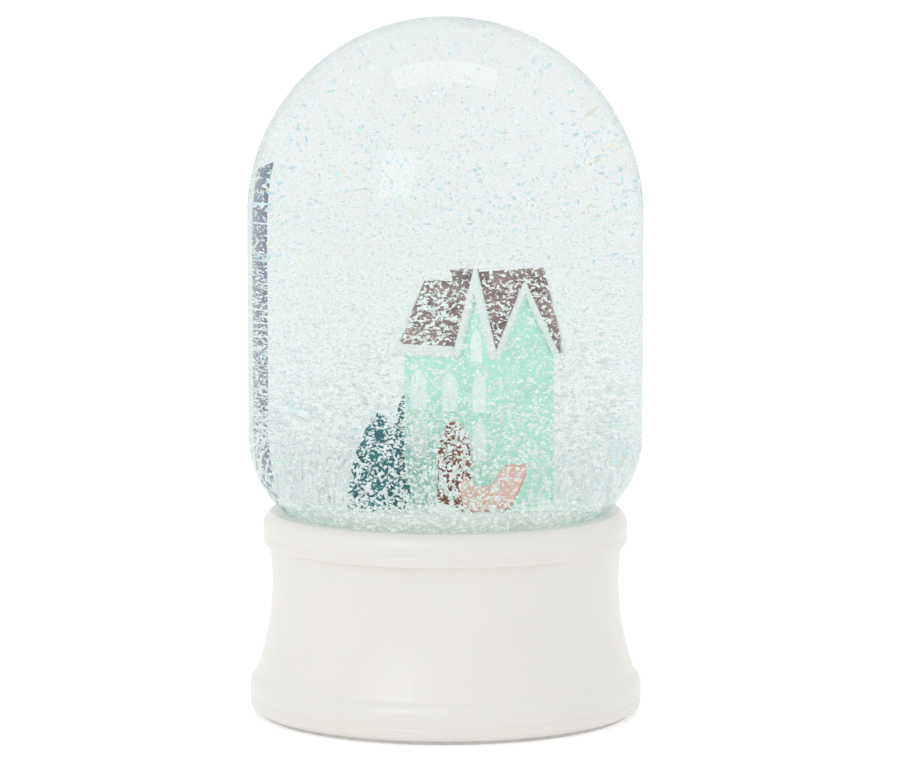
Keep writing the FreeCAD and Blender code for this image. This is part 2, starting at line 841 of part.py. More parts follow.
def make_screw(name, x, y, seat, shank, upwards=True):
    """A pan-head screw with a slot; its head bears on the seat height."""
    head_height = size(name + "_head", 1.6)
    slot = size(name + "_slot", 0.6)
    way = 1 if upwards else -1
    head_bottom = seat - head_height if upwards else seat
    shank_bottom = seat if upwards else seat - shank
    head = cylinder(name + "_cap", screw_head, head_height, x, y, head_bottom)
    stem = cylinder(name + "_stem", screw_radius, shank, x, y, shank_bottom)
    blade = doc.addObject("Part::Box", name + "_blade")
    bind(blade, Length=screw_head * 2.2, Width=slot, Height=slot)
    face = seat - head_height * way
    place(blade, x - screw_head * 1.1, y - slot / 2, face if upwards else face - slot)
    return cut(name, fuse(name + "_blank", [head, stem]), blade)


def make_screws():
    plate = []
    for index in range(3):
        x, y = turned(boss_circle, 60 + 120 * index)
        plate.append(make_screw("plate_screw_%d" % index, x, y, plate_bottom, plate_thickness + 5))
    node(group("plate_screws", plate), "plate_screws")
    bed = []
    for index, (x, y) in enumerate(MOVEMENT_SCREWS):
        length = plate_thickness + movement_floor
        bed.append(make_screw("bed_screw_%d" % index, x, y, plate_bottom, length))
    node(group("movement_screws", bed), "movement_screws")


# ---------------------------------------------------------------- musical movement

# Turns a piece built about Z so that it lies along X: its own X then points down.
ALONG_X = {"axis": (0, 1, 0), "degrees": 90}


def rotated(x, y, degrees):
    """A point turned about the axis, still tied to the sheet."""
    cosine, sine = math.cos(math.radians(degrees)), math.sin(math.radians(degrees))
    x, y = as_size(x), as_size(y)
    return x * cosine - y * sine, x * sine + y * cosine


def make_gear(label, teeth, module, width, bore, gap_at):
    """A spur gear about Z.  gap_at is the angle of one tooth gap from +X."""
    pitch_radius = module * teeth / 2
    tip = pitch_radius + module * 0.85
    root = pitch_radius - module * 1.15
    circular_pitch = module * math.pi
    body = new_body(label)
    sketch = circle(new_sketch(body, "XY"), 0, 0, tip)
    circle(sketch, 0, 0, bore)
    extrude(body, sketch, width)
    low, high = circular_pitch * 0.24, circular_pitch * 0.44
    reach = tip + module
    gap = [(root, -low), (reach, -high), (reach, high), (root, low)]
    sketch = outline(new_sketch(body, "XY"), [rotated(x, y, gap_at) for x, y in gap])
    around(body, extrude(body, sketch, width, cut=True), teeth)
    return body


def make_bedplate():
    low_x, high_x = size("bed_low_x", -26), size("bed_high_x", 32)
    low_y, high_y = size("bed_low_y", -22), size("bed_high_y", 12)
    body = new_body("bedplate")
    prism(body, "XY", box_corners(low_x, high_x, low_y, high_y), plate_top, movement_floor)
    sketch = circle(new_sketch(body, "XY", plate_top), movement_x, 0, arbor_radius + running_gap)
    for x, y in MOVEMENT_SCREWS:
        circle(sketch, x, y, screw_radius)
    extrude(body, sketch, movement_floor, cut=True)
    return node(body, "bedplate")


housing_height = size("housing_height", 12)
housing_wall = size("housing_wall", 1)


def make_spring_housing():
    """The drum-shaped cup over the mainspring, open towards the bedplate."""
    top = bed_top + housing_height
    bore = arbor_radius + running_gap
    body = place(new_body("spring_housing"), movement_x, 0, 0)
    revolve(body, [
        (housing_radius - housing_wall, bed_top),
        (housing_radius, bed_top),
        (housing_radius, top),
        (bore, top),
        (bore, top - housing_wall),
        (housing_radius - housing_wall, top - housing_wall),
    ])
    return node(body, "spring_housing")


def make_mainspring():
    """A flat strip wound outwards, in half circles that grow by half the winding step."""
    strip = size("spring_strip", 0.4)
    turns = size("spring_turns", 6)
    first = size("spring_first", 3)
    clear = 1
    room = housing_radius.value - housing_wall.value - first.value - clear
    step = room / (2 * turns.value)

    def spiral(offset):
        edges = []
        radius, centre = first.value + offset, 0
        for half in range(int(2 * turns.value)):
            way = 1 if half % 2 == 0 else -1
            begin = FreeCAD.Vector(centre + radius * way, 0, 0)
            top = FreeCAD.Vector(centre, radius * way, 0)
            end = FreeCAD.Vector(centre - radius * way, 0, 0)
            edges.append(Part.Arc(begin, top, end).toShape())
            centre += step / 2 * way
            radius += step / 2
        return edges

    inside, outside = spiral(0), spiral(strip.value)
    start = Part.makeLine(inside[0].Vertexes[0].Point, outside[0].Vertexes[0].Point)
    finish = Part.makeLine(inside[-1].Vertexes[-1].Point, outside[-1].Vertexes[-1].Point)
    wire = Part.Wire(Part.__sortEdges__(inside + [finish] + outside + [start]))
    height = housing_height.value - housing_wall.value - 2 * clear
    spring = doc.addObject("Part::Feature", "mainspring")
    spring.Shape = Part.Face(wire).extrude(FreeCAD.Vector(0, 0, height))
    place(spring, movement_x, 0, bed_top + clear)
    return node(spring, "mainspring")


great_web = size("great_web", 29.8)
great_plate = size("great_plate", 1.2)


def make_winder():
    """The key, its arbor and the great wheel, which turn as one."""
    key_top = size("key_top", 11)
    key_bottom = size("key_bottom", 2.2)
    key_hub = size("key_hub", 3)
    key_width = size("key_width", 20)
    key_thickness = size("key_thickness", 1.8)
    tooth_depth = size("great_tooth", 1.5)
    tooth_width = size("great_tooth_width", 1)
    gap_width = size("great_gap", 1.85)
    blade_top = key_top - key_thickness
    round_end = (blade_top - key_bottom) / 2

    key = place(new_body("winding_key"), movement_x, 0, 0)
    side = key_width / 2
    prism(key, "XZ", [
        (round_end - side, key_bottom),
        (side - round_end, key_bottom, round_end, LEFT),
        (side, key_bottom + round_end, round_end, LEFT),
        (side - round_end, blade_top),
        (round_end - side, blade_top, round_end, LEFT),
        (-side, key_bottom + round_end, round_end, LEFT),
    ], 0, key_thickness, both_ways=True)
    hub_bottom = key_bottom + round_end
    sketch = circle(new_sketch(key, "XY", hub_bottom), 0, 0, key_hub)
    extrude(key, sketch, key_top - hub_bottom)
    sketch = circle(new_sketch(key, "XY", hub_bottom), 0, 0, arbor_radius)
    extrude(key, sketch, key_top - hub_bottom, cut=True)
    sketch = new_sketch(key, "XZ")
    for way in (-1, 1):
        circle(sketch, key_width * 0.32 * way, key_bottom + round_end, round_end * 0.45)
    extrude(key, sketch, key_thickness * 2, "XZ", cut=True, both_ways=True)
    node(key, "winding_key")

    arbor = place(new_body("winding_arbor"), movement_x, 0, 0)
    sketch = circle(new_sketch(arbor, "XY", hub_bottom), 0, 0, arbor_radius)
    extrude(arbor, sketch, great_web + great_plate * 2 - hub_bottom)
    node(arbor, "winding_arbor")

    wheel = place(new_body("great_wheel"), movement_x, 0, 0)
    sketch = circle(new_sketch(wheel, "XY", great_web), 0, 0, great_radius + tooth_width + 0.5)
    circle(sketch, 0, 0, arbor_radius)
    extrude(wheel, sketch, great_plate)
    sketch = circle(new_sketch(wheel, "XY", great_web - tooth_depth), 0, 0, great_radius + tooth_width)
    circle(sketch, 0, 0, great_radius - tooth_width)
    extrude(wheel, sketch, tooth_depth)
    inner, outer = great_radius - tooth_width * 2, great_radius + tooth_width * 2
    gap = box_corners(inner, outer, -(gap_width / 2), gap_width / 2)
    sketch = outline(new_sketch(wheel, "XY", great_web - tooth_depth), gap)
    around(wheel, extrude(wheel, sketch, tooth_depth, cut=True), great_teeth)
    node(wheel, "great_wheel")


pinion_width = size("pinion_width", 1.8)
wheel_width = size("wheel_width", 1.6)
bracket_width = size("bracket_width", 1.2)
pinion_start = movement_x + great_radius - pinion_width / 2
wheel_start = drum_start + drum_length + 0.6
far_bracket = wheel_start + wheel_width + 0.6
fly_distance = fly_module * (wheel_teeth + fly_teeth) / 2


def make_drum():
    """The pinned drum, its shaft, the pinion under the great wheel and the wheel that drives the fly."""
    pin_radius = size("pin_radius", 0.25)
    golden_share = (math.sqrt(5) - 1) / 2
    axis = FreeCAD.Vector(1, 0, 0)
    core = Part.makeCylinder(drum_radius.value, drum_length.value, FreeCAD.Vector(), axis)
    pins = []
    rows, repeats = int(comb_teeth.value), 3
    for row in range(rows):
        for repeat in range(repeats):
            angle = 2 * math.pi * (row * golden_share + repeat * (row % 3 + 2) / 7)
            out = FreeCAD.Vector(0, math.cos(angle), math.sin(angle))
            along = FreeCAD.Vector(drum_length.value * (row + 0.5) / rows, 0, 0)
            base = along + out * (drum_radius.value - 1)
            pins.append(Part.makeCylinder(pin_radius.value, 1 + pin_height.value, base, out))
    bore = Part.makeCylinder(shaft_radius.value, drum_length.value, FreeCAD.Vector(), axis)
    drum = doc.addObject("Part::Feature", "music_drum")
    drum.Shape = core.fuse(pins).cut(bore)
    place(drum, drum_start, 0, drum_height)
    node(drum, "music_drum")

    shaft_length = far_bracket + bracket_width * 1.5 - pinion_start
    shaft = cylinder("drum_shaft", shaft_radius, shaft_length, pinion_start, 0, drum_height, **ALONG_X)
    node(shaft, "drum_shaft")

    crown_module = great_radius * 2 / great_teeth
    upward_tooth = 180 + 180 / pinion_teeth.value
    pinion = make_gear("drum_pinion", pinion_teeth, crown_module, pinion_width, shaft_radius, upward_tooth)
    node(place(pinion, pinion_start, 0, drum_height, **ALONG_X), "drum_pinion")

    towards_fly = 90 + fly_angle
    beside_tooth = towards_fly + 180 / wheel_teeth.value
    wheel = make_gear("drum_wheel", wheel_teeth, fly_module, wheel_width, shaft_radius, beside_tooth)
    node(place(wheel, wheel_start, 0, drum_height, **ALONG_X), "drum_wheel")


def make_fly():
    """The air brake: a pinion on a thin axle with two broad vanes outside the bracket."""
    axle_radius = size("fly_axle", 0.5)
    vane = size("fly_vane", 4)
    vane_length = size("fly_vane_length", 4)
    vane_thickness = size("fly_vane_thickness", 0.5)
    side, rise = turned(fly_distance, fly_angle)
    height = drum_height + rise
    towards_drum = 270 + fly_angle
    pinion = make_gear("fly_pinion", fly_teeth, fly_module, wheel_width, axle_radius, towards_drum)
    node(place(pinion, wheel_start, side, height, **ALONG_X), "fly_pinion")
    vane_start = far_bracket + bracket_width + 0.6
    length = vane_start + vane_length - wheel_start
    node(cylinder("fly_axle", axle_radius, length, wheel_start, side, height, **ALONG_X), "fly_axle")
    body = new_body("fly_vanes")
    blade = box_corners(-vane, vane, -(vane_thickness / 2), vane_thickness / 2)
    prism(body, "XY", blade, 0, vane_length)
    sketch = circle(new_sketch(body, "XY"), 0, 0, axle_radius * 2.4)
    extrude(body, sketch, vane_length)
    sketch = circle(new_sketch(body, "XY"), 0, 0, axle_radius)
    extrude(body, sketch, vane_length, cut=True)
    node(place(body, vane_start, side, height, **ALONG_X), "fly_vanes")


def make_brackets():
    """The two upright plates that carry the drum's shaft; the far one carries the fly as well."""
    near = size("near_bracket", 0.5)
    half = size("bracket_half", 3)
    side, rise = turned(fly_distance, fly_angle)
    fly_bore = size("fly_axle_bore", 0.55)
    left = new_body("near_shaft_bracket")
    top = drum_height + half
    prism(left, "YZ", box_corners(-half, half, bed_top, top), near, bracket_width)
    sketch = circle(new_sketch(left, "YZ", near), 0, drum_height, shaft_radius + running_gap)
    extrude(left, sketch, bracket_width, "YZ", cut=True)
    node(left, "near_shaft_bracket")
    right = new_body("far_shaft_bracket")
    reach, high = side + half, drum_height + rise + half
    prism(right, "YZ", box_corners(-half, reach, bed_top, high), far_bracket, bracket_width)
    sketch = circle(new_sketch(right, "YZ", far_bracket), 0, drum_height, shaft_radius + running_gap)
    circle(sketch, side, drum_height + rise, fly_bore)
    extrude(right, sketch, bracket_width, "YZ", cut=True)
    node(right, "far_shaft_bracket")


def make_comb():
    """The steel comb on its block: one tooth over each row of the drum's pins."""
    thickness = size("comb_thickness", 0.8)
    tip_gap = size("comb_tip_gap", 0.1)
    tooth_length = size("comb_tooth_length", 9)
    heel = size("comb_heel", 5.5)
    slot = size("comb_slot", 0.35)
    tip = -(drum_radius + pin_height + tip_gap)
    root = tip - tooth_length
    back = root - heel
    pitch = drum_length / comb_teeth
    comb = new_body("tone_comb")
    outer = box_corners(drum_start, drum_start + drum_length, back, tip)
    prism(comb, "XY", outer, drum_height - thickness, thickness)
    first = drum_start + pitch
    gap = box_corners(first - slot / 2, first + slot / 2, root, tip + slot)
    feature = prism(comb, "XY", gap, drum_height - thickness, thickness, cut=True)
    along_x(comb, feature, pitch * (comb_teeth - 2), comb_teeth - 1)
    middle = (root + back) / 2
    screw_xs = [drum_start + drum_length * share for share in (0.15, 0.5, 0.85)]
    sketch = new_sketch(comb, "XY", drum_height - thickness)
    for x in screw_xs:
        circle(sketch, x, middle, screw_radius)
    extrude(comb, sketch, thickness, cut=True)
    node(comb, "tone_comb")

    block = new_body("comb_block")
    block_top = drum_height - thickness
    base = box_corners(drum_start, drum_start + drum_length, back, root)
    prism(block, "XY", base, bed_top, block_top - bed_top)
    sketch = new_sketch(block, "XY", bed_top)
    for x in screw_xs:
        circle(sketch, x, middle, screw_radius)
    extrude(block, sketch, block_top - bed_top, cut=True)
    node(block, "comb_block")
    screws = []
    for index, x in enumerate(screw_xs):
        name = "comb_screw_%d" % index
        screws.append(make_screw(name, x, middle, drum_height, thickness + 4, upwards=False))
    node(group("comb_screws", screws), "comb_screws")


# ---------------------------------------------------------------- assembly and hand-over

def make_tree_room(tree, x, y, radius, height):
    """A plain blunt cone around a tree."""
    body = place(new_body(tree + "_room"), x, y, ground_top)
    revolve(body, [
        (0, -scene_gap),
        (radius + scene_gap, -scene_gap),
        (radius + scene_gap, height * 0.25),
        (radius * 0.35, height + scene_gap),
        (0, height + scene_gap),
    ])
    return body


def make_liquid(trees, mounds):
    """The clear liquid: the room above the snow, less plain rooms around what stands in it."""
    rooms = [make_house_room()]
    for tree, x, y, radius, height in trees:
        rooms.append(make_tree_room(tree, x, y, radius, height))
    sleigh = new_body("sleigh_room")
    half = sleigh_width / 2 + scene_gap
    plan = box_corners(-scene_gap, sleigh_length + scene_gap, -half, half)
    prism(sleigh, "XY", plan, -scene_gap, sleigh_lift + sleigh_back + scene_gap * 2)
    rooms.append(place(sleigh, sleigh_x, sleigh_y, ground_top))
    for index, (x, y, radius) in enumerate(mounds):
        rooms.append(cylinder("mound_room_%d" % index, radius + scene_gap, radius + scene_gap,
                              x, y, ground_top - scene_gap))
    skin = scene_gap / 3
    ground_depth = ground_top - stopper_top + skin
    rooms.append(cylinder("ground_room", ground_radius + skin, ground_depth, z=stopper_top))
    liquid_bottom = size("liquid_bottom", 50)
    cavity = make_cavity(liquid_bottom)
    node(cut("liquid_fill", cavity, fuse("scene_room", rooms)), "liquid_fill")


def check_document():
    """Stops if any object failed, if a cut removed nothing, or if a piece isn't a sound shape."""
    failed = [item.Name for item in doc.Objects if {"Invalid", "Error"} & set(item.State)]
    if failed:
        raise RuntimeError("these objects failed: " + ", ".join(failed))
    for body in doc.Objects:
        if body.TypeId != "PartDesign::Body":
            continue
        before = None
        for feature in body.Group:
            if not feature.isDerivedFrom("PartDesign::Feature"):
                continue
            volume = feature.Shape.Volume
            if feature.TypeId == "PartDesign::Pocket" and not volume < before - 1e-6:
                raise RuntimeError("%s of %s cuts nothing" % (feature.Name, body.Name))
            before = volume
    for item in nodes:
        if item.Shape.isNull() or not item.Shape.isValid() or not item.Shape.Solids:
            raise RuntimeError("%s has no sound shape" % item.Label)


def write_nodes():
    os.makedirs("parts", exist_ok=True)
    for item in nodes:
        item.Shape.exportStep("parts/%s.step" % item.Label)
        print("%-20s %2d solids %10.1f mm3" % (item.Label, len(item.Shape.Solids), item.Shape.Volume))


def main():
    make_glass_dome()
    make_rubber_stopper()
    make_pedestal()
    make_bonding_ring()
    make_felt_ring()
    make_bottom_plate()
    make_screws()
    make_bedplate()
    make_spring_housing()
    make_mainspring()
    make_winder()
    make_drum()
    make_fly()
    make_brackets()
    make_comb()
    make_snow_ground()
    make_house_walls()
    make_main_roof()
    make_side_roof()
    make_wing_roof()
    make_chimney()
    make_bargeboards()
    make_fascias()
    make_openings()
    trees = (
        ("tree_front", -12.9, -5, size("front_tree_radius", 6.9), size("front_tree_height", 20.3)),
        ("tree_rear", -6.6, 12.8, size("rear_tree_radius", 4.8), size("rear_tree_height", 25.5)),
    )
    for tiers, tree in zip((5, 6), trees):
        make_tree(*tree, tiers)
    make_sleigh()
    spots = ((-0.6, -15.2, 3), (20.4, -12.2, 3.2), (-21.5, -8.5, 2.1), (-5.8, -12.5, 2), (22.5, -5.5, 2.3))
    mounds = [(x, y, size("mound_radius_%d" % index, radius)) for index, (x, y, radius) in enumerate(spots)]
    make_snow_mounds(mounds)
    make_liquid(trees, mounds)
    make_snow_flakes()
    doc.recompute()
    check_document()
    write_nodes()


main()
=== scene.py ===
import math
import random

import bmesh
import bpy
import numpy as np
from mathutils import Matrix, Vector, noise


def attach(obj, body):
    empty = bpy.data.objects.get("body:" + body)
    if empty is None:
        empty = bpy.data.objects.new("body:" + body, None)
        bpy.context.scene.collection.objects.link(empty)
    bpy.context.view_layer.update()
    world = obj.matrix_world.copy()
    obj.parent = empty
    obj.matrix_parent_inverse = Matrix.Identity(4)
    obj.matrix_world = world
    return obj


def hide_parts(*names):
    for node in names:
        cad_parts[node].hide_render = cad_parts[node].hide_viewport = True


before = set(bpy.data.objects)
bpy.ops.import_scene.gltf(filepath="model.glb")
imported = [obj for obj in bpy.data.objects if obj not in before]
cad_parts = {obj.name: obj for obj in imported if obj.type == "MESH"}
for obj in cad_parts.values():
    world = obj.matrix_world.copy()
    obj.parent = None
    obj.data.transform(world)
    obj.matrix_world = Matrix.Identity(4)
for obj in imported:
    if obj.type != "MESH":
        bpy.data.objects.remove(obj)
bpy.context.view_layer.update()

# Everything is in metres, in the frame of the CAD model: +Z up, the front faces -Y.
MM = 0.001
ROOT = "globe"


# ---- camera, lights and floor

CAMERA = Vector((1.15, -1100.0, 213.2))
FOCAL_LENGTH, SENSOR_WIDTH, DOWNWARD = 174.9, 36.0, 6.72
DAYLIGHT = 1.06
# Each softbox: where it stands, where it aims, its width and height.
OVERHEAD_BOX = (0, 0.07, 1.25), (0, 0, 0.15), 0.86, 0.34
LEFT_BOX = (-0.62, -1.1, 0.74), (0, 0, 0.09), 0.46, 0.66
FLOOR_REACH, FLOOR_STEPS = 14.0, 8
CARD_AWAY, CARD_HIGH, CARD_START, CARD_SPAN, CARD_STEPS = 0.50, 0.6, 37.2, 16.5, 6


def link(made):
    bpy.context.scene.collection.objects.link(made)
    return made


def make_camera():
    """A long lens a little above the globe, tipped down."""
    lens = bpy.data.cameras.new("camera")
    lens.lens = FOCAL_LENGTH
    lens.sensor_width = SENSOR_WIDTH
    lens.clip_start = 0.05
    lens.clip_end = 50
    camera = link(bpy.data.objects.new("camera", lens))
    camera.location = CAMERA * MM
    camera.rotation_euler = (math.radians(90 - DOWNWARD), 0, 0)
    bpy.context.scene.camera = camera


def make_light(name, location, target, width, height, watts):
    """A rectangular softbox that faces its target."""
    lamp = bpy.data.lights.new(name, "AREA")
    lamp.shape = "RECTANGLE"
    lamp.size = width
    lamp.size_y = height
    lamp.energy = watts
    box = link(bpy.data.objects.new(name, lamp))
    box.location = location
    box.rotation_euler = (Vector(target) - Vector(location)).to_track_quat("-Z", "Y").to_euler()
    return box


def make_studio():
    """White daylight, a softbox overhead and one at the left.  The glint is seen only in reflections."""
    world = bpy.data.worlds.new("studio")
    world.use_nodes = True
    background = world.node_tree.nodes["Background"]
    background.inputs["Color"].default_value = (1, 1, 1, 1)
    background.inputs["Strength"].default_value = DAYLIGHT
    scene = bpy.context.scene
    scene.world = world
    scene.view_settings.view_transform = "Standard"
    cycles = scene.cycles
    cycles.use_denoising = True
    cycles.max_bounces = 16
    cycles.transmission_bounces = 12
    cycles.transparent_max_bounces = 24
    cycles.diffuse_bounces = 3
    cycles.glossy_bounces = 4
    cycles.caustics_refractive = cycles.caustics_reflective = False
    make_light("overhead_softbox", *OVERHEAD_BOX, 1.3)
    make_light("left_softbox", *LEFT_BOX, 1.9)
    make_light("left_glint", *LEFT_BOX, 2.8).visible_diffuse = False


def make_floor():
    """A pale floor that runs far behind the globe."""
    mesh = bpy.data.meshes.new("floor_paper")
    reach, steps = FLOOR_REACH, FLOOR_STEPS
    points = [(reach * (2 * i / steps - 1), reach * (2 * j / steps - 1), 0.0)
              for j in range(steps + 1) for i in range(steps + 1)]
    row = steps + 1
    faces = [(j * row + i, j * row + i + 1, (j + 1) * row + i + 1, (j + 1) * row + i)
             for j in range(steps) for i in range(steps)]
    mesh.from_pydata(points, [], faces)
    mesh.materials.append(look("floor_paper"))
    link(bpy.data.objects.new("floor_paper", mesh))


def make_dark_card():
    """A grey flag behind the globe.  Only the glass's edge, which bends light that far, shows it."""
    mesh = bpy.data.meshes.new("dark_card")
    steps = CARD_STEPS
    angles = [math.radians(CARD_START + CARD_SPAN * i / steps) for i in range(steps + 1)]
    points = [(CARD_AWAY * math.sin(a), CARD_AWAY * math.cos(a), z)
              for z in (0.001, CARD_HIGH) for a in angles]
    mesh.from_pydata(points, [], [(i, i + 1, i + steps + 2, i + steps + 1) for i in range(steps)])
    mesh.materials.append(look("card_cloth"))
    card = link(bpy.data.objects.new("dark_card", mesh))
    card.visible_camera = card.visible_shadow = card.visible_diffuse = card.visible_glossy = False


# ---- materials

def new_material(name):
    material = bpy.data.materials.new(name)
    material.use_nodes = True
    nodes = material.node_tree.nodes
    nodes.clear()
    output = nodes.new("ShaderNodeOutputMaterial")
    return material, nodes, material.node_tree.links, output


def colour_ramp(nodes, stops):
    ramp = nodes.new("ShaderNodeValToRGB")
    elements = ramp.color_ramp.elements
    while len(elements) < len(stops):
        elements.new(0.5)
    for element, (position, colour) in zip(elements, stops):
        element.position = position
        element.color = (*colour, 1)
    return ramp


def shade(colour, factor):
    return tuple(min(1.0, max(0.0, channel * factor)) for channel in colour)


def noise_node(nodes, links, vector, scale, detail=2):
    texture = nodes.new("ShaderNodeTexNoise")
    texture.inputs["Scale"].default_value = scale
    texture.inputs["Detail"].default_value = detail
    links.new(vector, texture.inputs["Vector"])
    return texture.outputs["Fac"]


def multiply(nodes, links, one, other):
    mix = nodes.new("ShaderNodeMix")
    mix.data_type = "RGBA"
    mix.blend_type = "MULTIPLY"
    mix.inputs["Factor"].default_value = 1
    links.new(one, mix.inputs["A"])
    links.new(other, mix.inputs["B"])
    return mix.outputs["Result"]


def clouded(nodes, links, vector, scale, detail, low, high):
    """A colour that wanders between two shades."""
    ramp = colour_ramp(nodes, [(0.3, low), (0.7, high)])
    links.new(noise_node(nodes, links, vector, scale, detail), ramp.inputs["Fac"])
    return ramp.outputs["Color"]


def surface(name, colour, rough, mottle, grain, bump, metal=0.0, coat=0.0, sheen=0.0, glow=0.0,
            snow=0.0, stretch=(1, 1, 1), tone=False):
    """A solid material: mottled colour, grainy gloss and a fine bump, in the object's own frame; glow adds an
    emission of the colour, painted light that lifts its shade.

    snow lays white on what faces up; tone mixes in each flake's own tone attribute: a random brightness and,
    on some flakes, a painted colour fringe of the light that the glass spreads."""
    material, nodes, links, output = new_material(name)
    shader = nodes.new("ShaderNodeBsdfPrincipled")
    links.new(shader.outputs[0], output.inputs["Surface"])
    place = nodes.new("ShaderNodeTexCoord")
    scale = nodes.new("ShaderNodeMapping")
    scale.inputs["Scale"].default_value = stretch
    links.new(place.outputs["Object"], scale.inputs["Vector"])
    fine = noise_node(nodes, links, scale.outputs[0], grain * 4, 3)
    result = clouded(nodes, links, scale.outputs[0], grain * 0.25, 4, shade(colour, 1 - mottle),
                     shade(colour, 1 + mottle))
    if tone:
        own = nodes.new("ShaderNodeAttribute")
        own.attribute_name = "tone"
        result = multiply(nodes, links, result, own.outputs["Color"])
    if snow > 0:
        facing = nodes.new("ShaderNodeNewGeometry")
        split = nodes.new("ShaderNodeSeparateXYZ")
        links.new(facing.outputs["Normal"], split.inputs[0])
        total = nodes.new("ShaderNodeMath")
        total.operation = "MULTIPLY_ADD"
        links.new(noise_node(nodes, links, scale.outputs[0], grain * 1.2), total.inputs[0])
        total.inputs[1].default_value = 0.9
        links.new(split.outputs["Z"], total.inputs[2])
        cover = colour_ramp(nodes, [(1.35 - snow, (0, 0, 0)), (1.42 - snow, (1, 1, 1))])
        links.new(total.outputs[0], cover.inputs["Fac"])
        dust = nodes.new("ShaderNodeMix")
        dust.data_type = "RGBA"
        links.new(cover.outputs["Color"], dust.inputs["Factor"])
        links.new(result, dust.inputs["A"])
        dust.inputs["B"].default_value = (0.88, 0.93, 0.93, 1)
        result = dust.outputs["Result"]
    links.new(result, shader.inputs["Base Color"])
    gloss = nodes.new("ShaderNodeMapRange")
    gloss.inputs["To Min"].default_value = max(0.02, rough - 0.08)
    gloss.inputs["To Max"].default_value = min(1.0, rough + 0.08)
    links.new(fine, gloss.inputs["Value"])
    links.new(gloss.outputs[0], shader.inputs["Roughness"])
    relief = nodes.new("ShaderNodeBump")
    relief.inputs["Strength"].default_value = bump
    relief.inputs["Distance"].default_value = 0.1 * MM
    links.new(fine, relief.inputs["Height"])
    links.new(relief.outputs[0], shader.inputs["Normal"])
    shader.inputs["Metallic"].default_value = metal
    shader.inputs["Coat Weight"].default_value = coat
    shader.inputs["Sheen Weight"].default_value = sheen
    # painted light: the colour glows though the piece is no lamp, lifting its shade; on the floor it also
    # pales the contact shadow
    if glow > 0:
        links.new(result, shader.inputs["Emission Color"])
        shader.inputs["Emission Strength"].default_value = glow
    return material


LOOKS = {
    # material: (colour, roughness, mottle, grain, bump, whatever else it has)
    # the glow entries are painted light, emission that lifts shade: on the floor it also pales the contact
    # shadow under the globe, and the lying flakes get more than the drifting ones
    "floor_paper": ((0.6, 0.6, 0.6), 0.8, 0.004, 60, 0.01, {"glow": 0.8}),
    "card_cloth": ((0.15, 0.19, 0.27), 0.9, 0.1, 40, 0.1, {}),
    "snow_white": ((0.90, 0.93, 0.89), 0.6, 0.04, 500, 0.35, {"glow": 0.14}),
    "white_flake": ((0.84, 0.885, 0.88), 0.35, 0.03, 900, 0.05, {"tone": True, "glow": 0.17}),
    "lying_flake": ((0.85, 0.92, 0.885), 0.4, 0.03, 900, 0.05, {"tone": True, "glow": 0.27}),
    "mint_resin": ((0.48, 0.80, 0.67), 0.45, 0.05, 350, 0.12, {"glow": 0.2}),
    "roof_brown": ((0.36, 0.255, 0.245), 0.6, 0.4, 900, 0.4, {}),
    "trim_white": ((0.88, 0.92, 0.9), 0.5, 0.04, 600, 0.3, {"glow": 0.05}),
    "chimney_stone": ((0.40, 0.32, 0.31), 0.65, 0.3, 900, 0.4, {"snow": 0.3}),
    "window_pale": ((0.82, 0.92, 0.89), 0.35, 0.03, 500, 0.08, {"glow": 0.16}),
    "door_brown": ((0.31, 0.085, 0.045), 0.5, 0.3, 700, 0.3, {"stretch": (1, 1, 0.2), "glow": 0.1}),
    "tree_teal": ((0.012, 0.15, 0.165), 0.55, 0.4, 900, 0.5, {"glow": 0.2}),
    "sleigh_coral": ((0.93, 0.56, 0.48), 0.4, 0.12, 600, 0.15, {}),
    "pedestal_resin": ((0.682, 0.666, 0.628), 0.42, 0.012, 200, 0.05, {"coat": 0.2}),
    "black_rubber": ((0.02, 0.02, 0.022), 0.75, 0.2, 500, 0.2, {}),
    # the bonding ring is a real part, and its dark green is painted shade: the dark line of the gap where the
    # glass sits in the pedestal
    "sealant": ((0.16, 0.24, 0.2), 0.5, 0.1, 400, 0.2, {}),
    "plate_plastic": ((0.74, 0.73, 0.7), 0.5, 0.05, 900, 0.15, {}),
    "felt": ((0.6, 0.58, 0.56), 0.95, 0.08, 1600, 0.4, {"sheen": 0.4}),
    "zinc_steel": ((0.52, 0.53, 0.54), 0.32, 0.12, 900, 0.08, {"metal": 1.0}),
    "brass": ((0.72, 0.5, 0.2), 0.28, 0.1, 900, 0.06, {"metal": 1.0}),
    "spring_steel": ((0.32, 0.33, 0.36), 0.25, 0.15, 900, 0.05, {"metal": 1.0}),
    "nylon_white": ((0.8, 0.8, 0.77), 0.4, 0.04, 700, 0.08, {}),
}


def look(name):
    *common, more = LOOKS[name]
    return surface(name, *common, **more)


